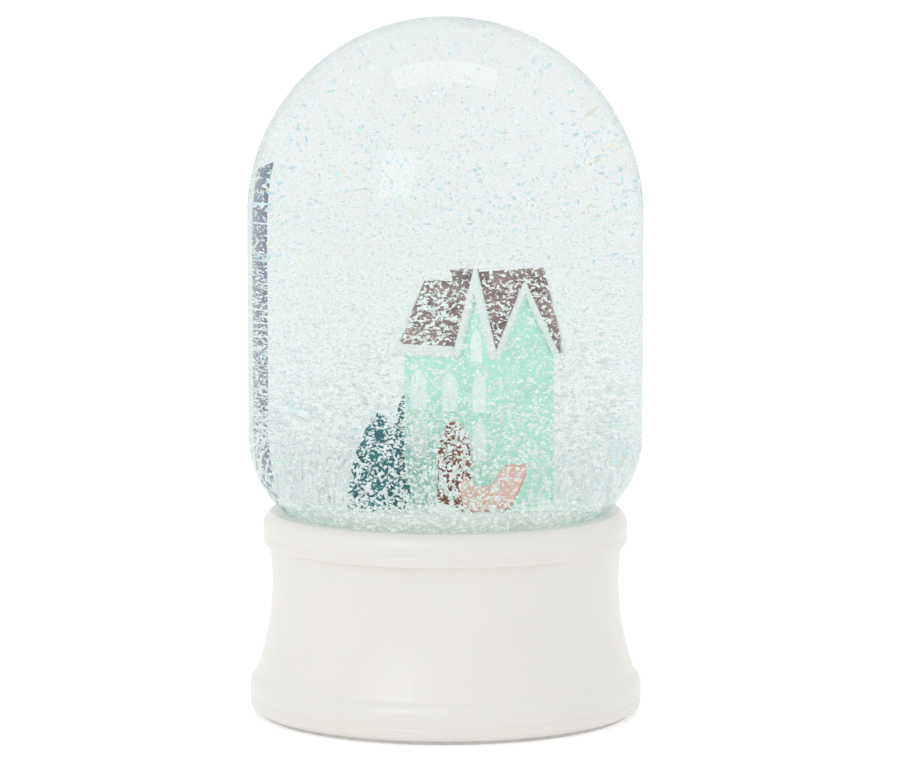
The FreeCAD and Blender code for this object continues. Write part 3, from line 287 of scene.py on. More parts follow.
def clear_material(name, ior, tint, through):
    """Clear glass with painted shade that darkens it at its edge, and that lets light through to what is
    inside.
    """
    material, nodes, links, output = new_material(name)
    glass = nodes.new("ShaderNodeBsdfGlass")
    glass.inputs["IOR"].default_value = ior
    glass.inputs["Roughness"].default_value = 0
    straight = nodes.new("ShaderNodeBsdfTransparent")
    straight.inputs["Color"].default_value = (*through, 1)
    place = nodes.new("ShaderNodeTexCoord")
    body = clouded(nodes, links, place.outputs["Object"], 18, 2, shade(tint, 0.995), shade(tint, 1.005))
    # painted shade: the glass's colour darkens where its face turns away from the view
    weight = nodes.new("ShaderNodeLayerWeight")
    edge = colour_ramp(nodes, [(0.68, (1, 1, 1)), (0.86, (0.9, 0.92, 0.92)), (1.0, (0.86, 0.89, 0.89))])
    links.new(weight.outputs["Facing"], edge.inputs["Fac"])
    links.new(multiply(nodes, links, body, edge.outputs["Color"]), glass.inputs["Color"])
    path = nodes.new("ShaderNodeLightPath")
    either = nodes.new("ShaderNodeMath")
    either.operation = "MAXIMUM"
    links.new(path.outputs["Is Shadow Ray"], either.inputs[0])
    links.new(path.outputs["Is Diffuse Ray"], either.inputs[1])
    mix = nodes.new("ShaderNodeMixShader")
    links.new(either.outputs[0], mix.inputs["Fac"])
    links.new(glass.outputs[0], mix.inputs[1])
    links.new(straight.outputs[0], mix.inputs[2])
    links.new(mix.outputs[0], output.inputs["Surface"])
    return material


def veil_material(name, tint):
    """A boundary that tints light and doesn't bend it: where the liquid meets the glass."""
    material, nodes, links, output = new_material(name)
    straight = nodes.new("ShaderNodeBsdfTransparent")
    place = nodes.new("ShaderNodeTexCoord")
    veil = clouded(nodes, links, place.outputs["Object"], 25, 2, shade(tint, 0.998), tint)
    links.new(veil, straight.inputs["Color"])
    links.new(straight.outputs[0], output.inputs["Surface"])
    return material


# ---- mesh helpers, in millimetres

def dress(made, material, stands_for):
    """Gives a piece its material, rides it on the globe and hides the CAD nodes it stands for."""
    link(made)
    made.data.materials.append(material)
    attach(made, ROOT)
    if stands_for:
        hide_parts(*stands_for)
    return made


def piece(name, shape, material, stands_for=(), crease=32):
    """Makes the object of a finished bmesh, soft-shaded but for creases."""
    bmesh.ops.recalc_face_normals(shape, faces=shape.faces)
    for face in shape.faces:
        face.smooth = True
    limit = math.radians(crease)
    for edge in shape.edges:
        if len(edge.link_faces) == 2 and edge.calc_face_angle(0) > limit:
            edge.smooth = False
    mesh = bpy.data.meshes.new(name)
    shape.to_mesh(mesh)
    shape.free()
    mesh.transform(Matrix.Scale(MM, 4))
    return dress(bpy.data.objects.new(name, mesh), material, stands_for)


def arc(x, z, radius, start, end, steps):
    """Points on a circle in a lathe's (radius, height) plane; angles are in degrees."""
    angles = [math.radians(start + (end - start) * i / steps) for i in range(steps + 1)]
    return [(x + radius * math.cos(a), z + radius * math.sin(a)) for a in angles]


def between(start, end, bulge, steps):
    """Points on the arc from start to end whose middle stands bulge to the left of the chord."""
    (x0, z0), (x1, z1) = start, end
    chord = math.hypot(x1 - x0, z1 - z0)
    radius = (chord * chord / 4 + bulge * bulge) / (2 * abs(bulge))
    half = math.asin(min(1.0, chord / 2 / radius))
    side = 1 if bulge > 0 else -1
    ux, uz = (x1 - x0) / chord, (z1 - z0) / chord
    away = radius * math.cos(half)
    cx, cz = (x0 + x1) / 2 + uz * away * side, (z0 + z1) / 2 - ux * away * side
    first = math.atan2(z0 - cz, x0 - cx)
    angles = [first - side * 2 * half * i / steps for i in range(steps + 1)]
    return [(cx + radius * math.cos(a), cz + radius * math.sin(a)) for a in angles]


def smooth(points, steps):
    """A closed curve through the points, a Catmull-Rom spline."""
    count = len(points)
    curve = []
    for i in range(count):
        before, start, end, after = (points[(i + k) % count] for k in (-1, 0, 1, 2))
        for step in range(steps):
            t = step / steps
            curve.append(tuple(
                0.5 * (2 * b + (c - a) * t + (2 * a - 5 * b + 4 * c - d) * t * t
                       + (3 * b - a - 3 * c + d) * t ** 3)
                for a, b, c, d in zip(before, start, end, after)))
    return curve


def lathe(shape, profile, segments, closed=True, ripple=None, centre=(0, 0)):
    """Turns a (radius, height) profile about a vertical axis.  ripple(radius, angle, z) moves a point."""
    rings = []
    for radius, height in profile:
        if radius < 1e-6:
            rings.append([shape.verts.new((centre[0], centre[1], height))])
            continue
        ring = []
        for index in range(segments):
            angle = 2 * math.pi * index / segments
            r, z = ripple(radius, angle, height) if ripple else (radius, height)
            spot = (centre[0] + r * math.cos(angle), centre[1] + r * math.sin(angle), z)
            ring.append(shape.verts.new(spot))
        rings.append(ring)
    pairs = list(zip(rings, rings[1:]))
    if closed:
        pairs.append((rings[-1], rings[0]))
    for low, high in pairs:
        if len(low) == 1 and len(high) == 1:
            continue
        for index in range(segments):
            after = (index + 1) % segments
            near = low if len(low) == 1 else [low[index], low[after]]
            far = high if len(high) == 1 else [high[after], high[index]]
            shape.faces.new(near + far)


def solid(shape, outline, start, end, place=Matrix.Identity(4), plane="XZ", bevel=0.0, steps=2):
    """A prism of an outline between two depths, with bevelled edges, put in place by a matrix."""
    def spot(a, b, depth):
        return {"XZ": (a, depth, b), "YZ": (depth, a, b), "XY": (a, b, depth)}[plane]

    block = bmesh.new()
    near = [block.verts.new(spot(a, b, start)) for a, b in outline]
    far = [block.verts.new(spot(a, b, end)) for a, b in outline]
    block.faces.new(near)
    block.faces.new(list(reversed(far)))
    count = len(outline)
    for index in range(count):
        after = (index + 1) % count
        block.faces.new([near[index], far[index], far[after], near[after]])
    bmesh.ops.recalc_face_normals(block, faces=block.faces)
    if bevel > 0:
        sharp = [edge for edge in block.edges if edge.calc_face_angle(0) > math.radians(25)]
        bmesh.ops.bevel(block, geom=sharp, offset=bevel, segments=steps, profile=0.5, affect="EDGES",
                        clamp_overlap=True)
    block.transform(place)
    add(shape, block)


def add(shape, other):
    """Puts a copy of another bmesh into this one and frees it."""
    corners = {vert: shape.verts.new(vert.co) for vert in other.verts}
    for face in other.faces:
        shape.faces.new([corners[vert] for vert in face.verts])
    other.free()


def lump(shape, centre, size, seed, level, rough, turn=0.0):
    """A rounded snow drift: an ellipsoid with a wandering surface and a flattened foot."""
    ball = bmesh.new()
    bmesh.ops.create_icosphere(ball, subdivisions=level, radius=1)
    for vert in ball.verts:
        spread = noise.noise(vert.co * 1.7 + Vector((seed * 3.7, seed, 0))) * rough * 2
        spread += noise.noise(vert.co * 4.1 + Vector((0, seed, seed * 2.1))) * rough
        vert.co = vert.co * (1 + spread)
        if vert.co.z < 0:
            vert.co.z *= 0.25
    ball.transform(Matrix.Translation(centre) @ Matrix.Rotation(turn, 4, "Z") @ Matrix.Diagonal((*size, 1)))
    add(shape, ball)


# ---- sizes, in millimetres

DOME_R, DOME_Z, WALL = 50.0, 126.4, 2.5
SHOULDER_R, SHOULDER_Z = 25.0, 70.6
NECK_R, NECK_WALL, NECK_LOW = 36.0, 3.0, 38.0
GROUND_Z, GROUND_R, STOPPER_Z = 58.0, 32.5, 48.0
HOUSE_W, HOUSE_D, WALLS = 21.5, 16.6, 34.0
MAIN_LEFT, MAIN_RISE, SIDE_RISE, WING_RISE = 12.6, 21.5, 18.9, 18.2
OVERHANG, REAR_OVERHANG = 1.6, 1.9
ROOF = 1.0
ROOF_MID, DEPTH_MID = (MAIN_LEFT + HOUSE_W) / 2, HOUSE_D / 2
BOARD, BOARD_WIDTH, FASCIA = 0.9, 1.5, 3.0
FRONT_BOARD, FRONT_LIFT = 1.4, 1.2
SHINGLE_ROW, SHINGLE_LONG, SHINGLE_THICK = 1.4, 1.75, 0.3
DOOR_MIDDLE, DOOR_WIDE, DOOR_HIGH, DOOR_ARCH, DOOR_FRAME, PLANKS = 11.6, 7.6, 17.8, 11.0, 0.75, 5
WINDOW_FIRST, WINDOW_SPACING, WINDOW_WIDE, WINDOW_HIGH, WINDOW_ARCH = 3.2, 7.3, 3.3, 10.2, 4.0
CHIMNEY_X, CHIMNEY_SIDE, CHIMNEY_RISE, BRICK_ROWS = 7.2, 3.1, 21.5, 4
HOUSE_TURN = math.radians(-37)
HOUSE = Matrix.Translation((-7.37, 3.39, GROUND_Z)) @ Matrix.Rotation(HOUSE_TURN, 4, "Z")
TREES = {
    # piece: (x, y, radius, height, tiers, seed, CAD node)
    "front_conifer": (-12.9, -5.0, 7.3, 20.3, 5, 11, "tree_front"),
    "rear_conifer": (-6.6, 12.8, 5.0, 24.7, 6, 12, "tree_rear"),
}
TRUNK = 1.2
BOSS_CIRCLE = 36.0
SLEIGH = Vector((2.8, -17.2, GROUND_Z))
SLEIGH_LONG, SLEIGH_BACK, SLEIGH_LIFT, SLEIGH_WIDE = 14.4, 7.5, 1.2, 5.0
MOUNDS = ((-0.6, -15.2, 3.0), (20.4, -12.2, 3.2), (-21.5, -8.5, 2.1), (-5.8, -12.5, 2.0), (22.5, -5.5, 2.3))


def leg(hypotenuse, other):
    """The third side of a right-angled triangle."""
    return math.sqrt(hypotenuse * hypotenuse - other * other)


# ---- globe

def glass_profile(wall):
    """The outline of the glass from the neck's foot to the top, set in by a wall thickness."""
    radius, shoulder = DOME_R - wall, SHOULDER_R - wall
    centre = DOME_R - SHOULDER_R
    neck = NECK_R if wall == 0 else NECK_R - NECK_WALL
    start = -math.degrees(math.acos((neck - centre) / shoulder))
    points = [(neck, NECK_LOW + i) for i in range(0, 8, 2)]
    points += arc(centre, SHOULDER_Z, shoulder, start, 0, 24)
    points += [(radius, SHOULDER_Z + (DOME_Z - SHOULDER_Z) * i / 8) for i in range(1, 8)]
    points += arc(0, DOME_Z, radius, 0, 89.999, 44)
    points[-1] = (0.0, DOME_Z + radius)
    return points


def make_dome():
    """The glass shell.  The liquid wets its inner face, which then bends no light."""
    shape = bmesh.new()
    lathe(shape, glass_profile(0) + glass_profile(WALL)[::-1], 192)
    glass = clear_material("clear_glass", 1.35, (0.95, 0.956, 0.954), (0.985, 0.992, 0.99))
    made = piece("glass_shell", shape, glass, ("glass_dome",))
    made.data.materials.append(veil_material("wetted_glass", (0.995, 1.0, 1.0)))
    centre = DOME_R - SHOULDER_R
    for face in made.data.polygons:
        x, y, z = face.center / MM
        radius = math.hypot(x, y)
        if z > DOME_Z:
            reach = math.hypot(radius, z - DOME_Z)
        elif z > SHOULDER_Z:
            reach = radius
        elif radius > centre and z > NECK_LOW + 8:
            reach = centre + math.hypot(radius - centre, z - SHOULDER_Z)
        else:
            reach = radius + DOME_R - NECK_R
        if reach < DOME_R - WALL / 2:
            face.material_index = 1


def make_liquid():
    """The water fills the glass above the snow, a hair inside it."""
    shape = bmesh.new()
    gap, skin = 0.04, 0.1
    inside = [(r, z) for r, z in glass_profile(WALL + gap) if z > STOPPER_Z + 2]
    bed = [(r, GROUND_Z + skin) for r in (0.0, GROUND_R * 0.5, GROUND_R + skin)]
    lathe(shape, bed + [(GROUND_R + skin, inside[0][1])] + inside, 128, closed=False)
    veil = veil_material("clear_liquid", (0.896, 0.91, 0.908))
    piece("water", shape, veil, ("liquid_fill",))


# ---- house

def house_solid(shape, outline, start, end, plane, bevel):
    solid(shape, outline, start, end, HOUSE, plane, bevel)


def box_outline(low_a, high_a, low_b, high_b):
    return [(low_a, low_b), (high_a, low_b), (high_a, high_b), (low_a, high_b)]


def square(x, y, half):
    return box_outline(x - half, x + half, y - half, y + half)


def gable_top(low, high, rise):
    half = (high - low) / 2
    return rise * half / (half + ROOF)


def make_walls():
    """Three gabled blocks, with a plinth, a string course and corner posts."""
    shape = bmesh.new()
    inset = 0.03
    for plane, low, high, rise, start, end in (
        ("XZ", MAIN_LEFT, HOUSE_W - inset, MAIN_RISE, 0, HOUSE_D),
        ("YZ", inset, HOUSE_D - inset, SIDE_RISE, ROOF_MID, HOUSE_W),
        ("YZ", inset, HOUSE_D - inset, WING_RISE, 0, ROOF_MID),
    ):
        peak = ((low + high) / 2, WALLS + gable_top(low, high, rise) - 0.05)
        outline = [(low, 0.1), (high, 0.1), (high, WALLS), peak, (low, WALLS)]
        house_solid(shape, outline, start, end, plane, 0.12)
    for low, high, proud in ((0.1, 1.5, 0.25), (18.6, 19.1, 0.15)):
        course = box_outline(-proud, HOUSE_W + proud, -proud, HOUSE_D + proud)
        house_solid(shape, course, low, high, "XY", 0.1)
    for x, y in ((0, 0), (HOUSE_W, 0), (0, HOUSE_D), (HOUSE_W, HOUSE_D)):
        post = box_outline(x - 0.55 if x else -0.14, x + 0.14 if x else 0.55,
                           y - 0.55 if y else -0.14, y + 0.14 if y else 0.55)
        house_solid(shape, post, 0.3, WALLS - 0.2, "XY", 0.1)
    piece("house_shell", shape, look("mint_resin"), ("house_walls",))


def roof_height(x, y, skip=None):
    """The height of the highest roof over a spot of the house, but for the one that is skipped."""
    heights = [0.0]
    if skip != "main" and x > MAIN_LEFT - ROOF:
        half = (HOUSE_W - MAIN_LEFT) / 2 + ROOF
        heights.append(WALLS + MAIN_RISE * (1 - abs(x - ROOF_MID) / half))
    slope = 1 - abs(y - DEPTH_MID) / (DEPTH_MID + ROOF)
    if skip != "side" and x > ROOF_MID:
        heights.append(WALLS + SIDE_RISE * slope)
    if skip != "wing" and -OVERHANG < x < ROOF_MID:
        heights.append(WALLS + WING_RISE * slope)
    return max(heights)


SLOPES = {
    # roof: (middle, half width, rise, along low, along high, the ridge runs along X)
    "main": (ROOF_MID, (HOUSE_W - MAIN_LEFT) / 2, MAIN_RISE, -0.1, HOUSE_D + REAR_OVERHANG, False),
    "side": (DEPTH_MID, DEPTH_MID, SIDE_RISE, ROOF_MID, HOUSE_W + 0.1, True),
    "wing": (DEPTH_MID, DEPTH_MID, WING_RISE, -OVERHANG, ROOF_MID, True),
}


def make_shingles(roof, chance, material):
    """Rows of uneven shingles on a roof's slabs, wherever no other roof covers them."""
    middle, half, rise, start, end, along_x = SLOPES[roof]
    reach = half + ROOF
    shape = bmesh.new()
    rows = int(math.hypot(reach, rise) / SHINGLE_ROW)
    tilt = math.atan2(rise, reach)
    for side in (-1, 1):
        for row in range(rows + 1):
            along = start + (0.1 if row % 2 else 0.55)
            while along < end - 0.4:
                width = min(chance.uniform(1.0, 1.5), end - along)
                down = (row + 0.5) / (rows + 0.3)
                off = side * reach * down
                height = WALLS + rise * (1 - down)
                spot = (along + width / 2, middle + off) if along_x else (middle + off, along + width / 2)
                at_eaves = abs(off) > half - 0.3
                if not at_eaves and roof_height(*spot, skip=roof) < height + 0.2:
                    add_shingle(shape, spot, height, width, tilt, side, along_x, chance)
                along += width + 0.06
    return piece(roof + "_shingles", shape, material)


def add_shingle(shape, spot, height, width, tilt, side, along_x, chance):
    """One shingle: a thin plate that lies on the slope, its lower edge a little raised."""
    plate = bmesh.new()
    bmesh.ops.create_cube(plate, size=1)
    bmesh.ops.bevel(plate, geom=list(plate.edges), offset=0.09, segments=1, affect="EDGES")
    lift = math.radians(chance.uniform(3, 9))
    turn = Matrix.Rotation(math.radians(chance.uniform(-3, 3)), 4, "Z")
    size = Matrix.Diagonal((width, SHINGLE_LONG, SHINGLE_THICK, 1))
    # in the slope's own frame: X along the eaves, Y up the slope
    lean = Matrix.Rotation(tilt - lift, 4, "X")
    face = Matrix.Rotation(math.radians(90 + 90 * side if along_x else 90 * side), 4, "Z")
    plate.transform(HOUSE @ Matrix.Translation((*spot, height - 0.05)) @ face @ lean @ turn @ size)
    add(shape, plate)


def verge(low, high, rise):
    """The outline of a gable's bargeboards: their feet, and the two points under the ridge."""
    middle = (low + high) / 2
    half = (high - low) / 2 + ROOF
    top = WALLS + rise
    under = top - rise * BOARD_WIDTH / half
    return [(low - ROOF, WALLS), (low - ROOF + BOARD_WIDTH, WALLS), (middle, under),
            (high + ROOF - BOARD_WIDTH, WALLS), (high + ROOF, WALLS), (middle, top)]


def make_boards(trim, chance):
    """Bargeboards and fascias, all of them heavy with snow."""
    back = HOUSE_D + REAR_OVERHANG
    spots = (
        ("front_bargeboard", "XZ", MAIN_LEFT, HOUSE_W, MAIN_RISE + FRONT_LIFT, (-FRONT_BOARD, 0.0)),
        ("rear_bargeboard", "XZ", MAIN_LEFT, HOUSE_W, MAIN_RISE, (back, back + BOARD)),
        ("side_bargeboard", "YZ", 0, HOUSE_D, SIDE_RISE, (HOUSE_W, HOUSE_W + BOARD)),
        ("wing_bargeboard", "YZ", 0, HOUSE_D, WING_RISE, (-BOARD - OVERHANG, -OVERHANG)),
    )
    for label, plane, low, high, rise, (start, end) in spots:
        shape = bmesh.new()
        foot, inner, under, far_inner, far_foot, top = verge(low, high, rise)
        house_solid(shape, [foot, inner, under, top], start + 0.05, end, plane, 0.28)
        house_solid(shape, [far_inner, far_foot, top, under], start + 0.05, end, plane, 0.28)
        drift_along(shape, plane, foot, top, (start + end) / 2, chance)
        drift_along(shape, plane, far_foot, top, (start + end) / 2, chance)
        piece("snowy_" + label, shape, trim, (label,), crease=50)
    reach = MAIN_LEFT - ROOF
    step = 1.3
    for label, start in (("front_fascia", -BOARD), ("rear_fascia", HOUSE_D)):
        shape = bmesh.new()
        outline = box_outline(-OVERHANG, reach, WALLS, WALLS + FASCIA - 0.2)
        house_solid(shape, outline, start + 0.1, start + BOARD, "XZ", 0.35)
        for index in range(int((reach + OVERHANG) / step)):
            x = (index + 0.5) * step - OVERHANG
            size = (0.85 * chance.uniform(0.85, 1.1), BOARD / 2, 0.45 * chance.uniform(0.7, 1.0))
            centre = HOUSE @ Vector((x, start + BOARD / 2, WALLS + FASCIA - 0.5))
            lump(shape, centre, size, index + 3, level=2, turn=HOUSE_TURN, rough=0.08)
        piece("snowy_" + label, shape, trim, (label,), crease=50)


def drift_along(shape, plane, low, high, depth, chance):
    """Small lumps of snow on a sloping board, a little inside its upper edge."""
    count = int(math.dist(low, high) / 1.5)
    for index in range(1, count):
        share = index / count
        a = low[0] + (high[0] - low[0]) * share
        b = low[1] + (high[1] - low[1]) * share - 0.95
        spot = (a, depth, b) if plane == "XZ" else (depth, a, b)
        size = chance.uniform(0.42, 0.5)
        lump(shape, HOUSE @ Vector(spot), (size, size, size * 1.1), index, level=1, rough=0.05)


def make_chimney():
    """A square stack of bonded bricks under a cap."""
    shape = bmesh.new()
    x, y, half = CHIMNEY_X, DEPTH_MID, CHIMNEY_SIDE / 2
    low = WALLS + WING_RISE * (1 - half / (DEPTH_MID + ROOF))
    top = WALLS + CHIMNEY_RISE
    house_solid(shape, square(x, y, half), low - 0.3, top - 0.3, "XY", 0.15)
    height = (top - 0.9 - low) / BRICK_ROWS
    for row in range(BRICK_ROWS):
        base = low + row * height
        for face in range(4):
            turn = Matrix.Translation((x, y, 0)) @ Matrix.Rotation(math.pi / 2 * face, 4, "Z")
            for brick in range(2):
                left = -half + 0.12 + brick * 1.45 + (0.3 if row % 2 else 0)
                outline = box_outline(left, min(left + 1.3, half - 0.05), base + 0.06, base + height - 0.06)
                solid(shape, outline, -half - 0.12, -half + 0.2, HOUSE @ turn, "XZ", 0.06, 1)
    house_solid(shape, square(x, y, half + 0.38), top - 0.8, top - 0.05, "XY", 0.2)
    piece("brick_chimney", shape, look("chimney_stone"), ("chimney",))


def lancet(middle, bottom, width, height, arch):
    """A tall outline with a pointed arch, counter-clockwise from its lower left corner."""
    steps = 6
    spring = bottom + height - arch
    radius = (arch * arch + width * width / 4) / width
    left, right = middle - width / 2, middle + width / 2
    reach = math.asin(min(1.0, arch / radius))
    turns = [reach * i / steps for i in range(steps + 1)]
    outline = [(left, bottom), (right, bottom)]
    outline += [(right - radius + radius * math.cos(a), spring + radius * math.sin(a)) for a in turns]
    outline += [(left + radius - radius * math.cos(a), spring + radius * math.sin(a)) for a in turns[-2::-1]]
    return outline


def make_windows():
    """Proud lancet windows, each a pane with a frame, a mullion and a transom."""
    shape = bmesh.new()
    ground_floor, upper_floor, attic = 8.4, 20.4, 33.1
    spots = [(WINDOW_FIRST + WINDOW_SPACING * column, row, WINDOW_WIDE, WINDOW_HIGH)
             for row, columns in ((ground_floor, (0, 2)), (upper_floor, (0, 1, 2))) for column in columns]
    spots.append((ROOF_MID, attic, WINDOW_WIDE * 0.8, WINDOW_HIGH * 0.85))
    for middle, bottom, wide, tall in spots:
        outer = lancet(middle, bottom, wide, tall, WINDOW_ARCH)
        inner = lancet(middle, bottom + 0.35, wide - 0.8, tall - 1.0, WINDOW_ARCH - 0.55)
        ring_solid(shape, outer, inner, -0.5)
        house_solid(shape, inner, -0.22, 0.02, "XZ", 0.0)
        bar, reach = bottom + tall * 0.48, wide / 2 - 0.35
        for strip in (box_outline(middle - 0.13, middle + 0.13, bottom + 0.3, bottom + tall - 1.1),
                      box_outline(middle - reach, middle + reach, bar - 0.12, bar + 0.12)):
            house_solid(shape, strip, -0.36, 0.0, "XZ", 0.05)
    piece("framed_windows", shape, look("window_pale"), ("lancet_windows",), crease=40)


def ring_solid(shape, outer, inner, start):
    """A frame: the band between two outlines of the same count, from a depth back to the front wall."""
    block = bmesh.new()
    loops = []
    end = 0.02
    for outline, depth in ((outer, end), (outer, start + 0.12), (inner_of(outer, inner, 0.15), start),
                           (inner_of(outer, inner, 0.85), start), (inner, start + 0.12), (inner, end)):
        loops.append([block.verts.new((a, depth, b)) for a, b in outline])
    count = len(outer)
    for near, far in zip(loops, loops[1:] + loops[:1]):
        for index in range(count):
            after = (index + 1) % count
            block.faces.new([near[index], near[after], far[after], far[index]])
    block.transform(HOUSE)
    add(shape, block)


def inner_of(outer, inner, share):
    return [(a + (c - a) * share, b + (d - b) * share) for (a, b), (c, d) in zip(outer, inner)]


def round_top(middle, bottom, width, height, arch):
    """A tall outline with an elliptical arch, counter-clockwise from its lower left corner."""
    steps = 10
    spring = bottom + height - arch
    outline = [(middle - width / 2, bottom), (middle + width / 2, bottom)]
    for i in range(2 * steps + 1):
        angle = math.pi / 2 * i / steps
        outline.append((middle + width / 2 * math.cos(angle), spring + arch * math.sin(angle)))
    return outline


def make_door(chance):
    """An arched plank door in a frame, with a small round knob."""
    shape = bmesh.new()
    middle, clear = DOOR_MIDDLE, DOOR_WIDE - 2 * DOOR_FRAME
    tall, arch = DOOR_HIGH - DOOR_FRAME, DOOR_ARCH - DOOR_FRAME
    outer = round_top(middle, 0, DOOR_WIDE, DOOR_HIGH, DOOR_ARCH)
    inner = round_top(middle, 0.12, clear, tall - 0.12, arch)
    ring_solid(shape, outer, inner, -0.74)
    house_solid(shape, inner, -0.3, 0.02, "XZ", 0.0)

    def crown(x):
        """The height of the opening's edge over a spot along the wall."""
        return tall - arch * (1 - math.sqrt(max(0.0, 1 - (2 * (x - middle) / clear) ** 2)))

    for index in range(PLANKS):
        low = middle - clear / 2 + clear * index / PLANKS + 0.07
        high = low + clear / PLANKS - 0.14
        plank = [(low, 0.2), (high, 0.2)]
        plank += [(x, crown(x) - 0.12) for x in (high, (low * 2 + high * 4) / 6, (low + high) / 2,
                                                 (low * 4 + high * 2) / 6, low)]
        house_solid(shape, plank, -0.52 - chance.uniform(0, 0.06), -0.1, "XZ", 0.05)
    for row in (2.9, 8.2):
        strap = box_outline(middle - clear / 2 + 0.15, middle + clear / 2 - 0.15, row, row + 0.75)
        house_solid(shape, strap, -0.68, -0.2, "XZ", 0.08)
    knob = bmesh.new()
    bmesh.ops.create_uvsphere(knob, u_segments=16, v_segments=10, radius=0.36)
    knob.transform(HOUSE @ Matrix.Translation((middle + 2.1, -0.38, 6.2)))
    add(shape, knob)
    return piece("plank_door", shape, look("door_brown"), ("front_door",), crease=40)


# ---- garden

def tree_reach(radius, share):
    """A conifer's outer radius at a share of its crown's height."""
    return radius * (1 - share) ** 0.68 if share < 1 else 0.0


def make_tree(name, teal):
    """A conifer: drooping, ragged skirts of needles over a trunk, each skirt a solid of its own."""
    x, y, radius, height, tiers, seed, stands_for = TREES[name]
    chance = random.Random(seed)
    shape = bmesh.new()
    crown = height - TRUNK
    stem = ((0, 0), (1.15, 0), (0.9, 2), (0.5, crown * 0.6), (0, crown * 0.62))
    lathe(shape, [(r, GROUND_Z + z) for r, z in stem], 12, closed=False, centre=(x, y))
    levels = tiers + 2
    for tier in range(levels):
        share = tier / levels
        outer = tree_reach(radius, share) * 0.99
        base = GROUND_Z + TRUNK + crown * share * 0.97 - (0.9 if tier == 0 else 0.0)
        rise = crown * 0.30 * (1 - share * 0.3)
        top = min(GROUND_Z + height - 0.02, base + rise)
        above = tree_reach(radius, min(1.0, (top - GROUND_Z - TRUNK) / crown))
        lobes = max(6, int(round(8 + 7 * (1 - share))))
        phase = chance.uniform(0, 6.28)
        wobble = chance.uniform(0, 10)

        def ragged(r, angle, z, outer=outer, lobes=lobes, phase=phase, wobble=wobble):
            edge = r / outer
            tooth = abs(math.sin(lobes * angle / 2 + phase))
            wander = noise.noise(Vector((math.cos(angle) * 2, math.sin(angle) * 2, wobble)))
            reach = 1 - edge ** 2 * (0.12 * tooth + 0.04 * (1 + wander))
            return r * reach, z - edge ** 3 * 0.4 * (1 - tooth) + 0.25 * wander * edge

        skirt = [(0, base + 1.0), (outer * 0.5, base + 0.8), (outer * 0.86, base + 0.45),
                 (outer, base + 0.42), (outer, base + 0.8),
                 (outer * 0.78 + above * 0.14, base + 0.8 + (top - base) * 0.3),
                 (outer * 0.4 + above * 0.3, base + 0.8 + (top - base) * 0.55),
                 (above * 0.4 + outer * 0.08, top - 0.1), (0, top)]
        lathe(shape, skirt, lobes * 6, closed=False, ripple=ragged, centre=(x, y))
    return piece(name, shape, teal, (stands_for,), crease=60)


def make_sleigh():
    """The sleigh: two curled side panels, a floor, a dash, a seat and its back, on two curved runners."""
    length, lift, width = SLEIGH_LONG, SLEIGH_LIFT, SLEIGH_WIDE
    place = Matrix.Translation(SLEIGH + Vector((0, 0, lift)))
    side = smooth([(2.3, 0.02), (6.5, 0.02), (9.8, 0.1), (11.3, 1.2), (12.6, 3.3), (13.8, 5.6), (14.3, 6.8),
                   (13.7, 7.42), (11.6, 7.4), (9.7, 7.3), (8.7, 6.7), (7.6, 4.9), (6.2, 4.0), (4.4, 3.85),
                   (3.1, 4.3), (2.1, 4.95), (1.0, 5.0), (0.2, 4.3), (0.15, 3.2), (0.8, 1.5)], 4)
    shape = bmesh.new()
    wall = 0.75
    for low in (-width / 2, width / 2 - wall):
        solid(shape, side, low, low + wall, place, "XZ", 0.2)
    inner = (-width / 2 + wall / 2, width / 2 - wall / 2)
    for outline in (
        [(1.9, 0.12), (10.0, 0.12), (10.0, 0.85), (1.9, 0.85)],
        [(0.35, 3.4), (1.6, 0.3), (2.4, 0.5), (1.2, 4.3)],
        [(9.2, 0.4), (10.1, 0.5), (13.7, 6.6), (12.7, 7.0)],
        [(6.2, 1.9), (10.8, 1.9), (11.2, 2.6), (6.2, 2.6)],
    ):
        solid(shape, outline, *inner, place, "XZ", 0.12)
    coral = look("sleigh_coral")
    piece("curled_sleigh", shape, coral, ("sleigh_body",), crease=40)

    runners = bmesh.new()
    place = Matrix.Translation(SLEIGH)
    band, struts = 0.5, (0.28, 0.72)
    rail = [(length * 0.14, 0.02), (length * 0.95, 0.02), (length * 0.95, band), (length * 0.16, band)]
    rail += between((length * 0.12, band + 0.05), (length * 0.085, 1.1), 0.1, 3)
    rail += [(length * 0.055, 1.05)]
    rail += between((length * 0.056, 0.6), (length * 0.11, 0.05), 0.1, 3)
    for low in (-width / 2, width / 2 - 0.7):
        solid(runners, rail, low, low + 0.7, place, "XZ", 0.1)
        for share in struts:
            post = box_outline(length * share, length * share + 0.7, 0.3, lift + 0.08)
            solid(runners, post, low + 0.08, low + 0.62, place, "XZ", 0.1)
    for share in struts:
        rung = box_outline(length * share + 0.05, length * share + 0.65, 0.7, 1.15)
        solid(runners, rung, -width / 2 + 0.3, width / 2 - 0.3, place, "XZ", 0.08)
    piece("curved_runners", runners, coral, ("sleigh_runners",), crease=40)


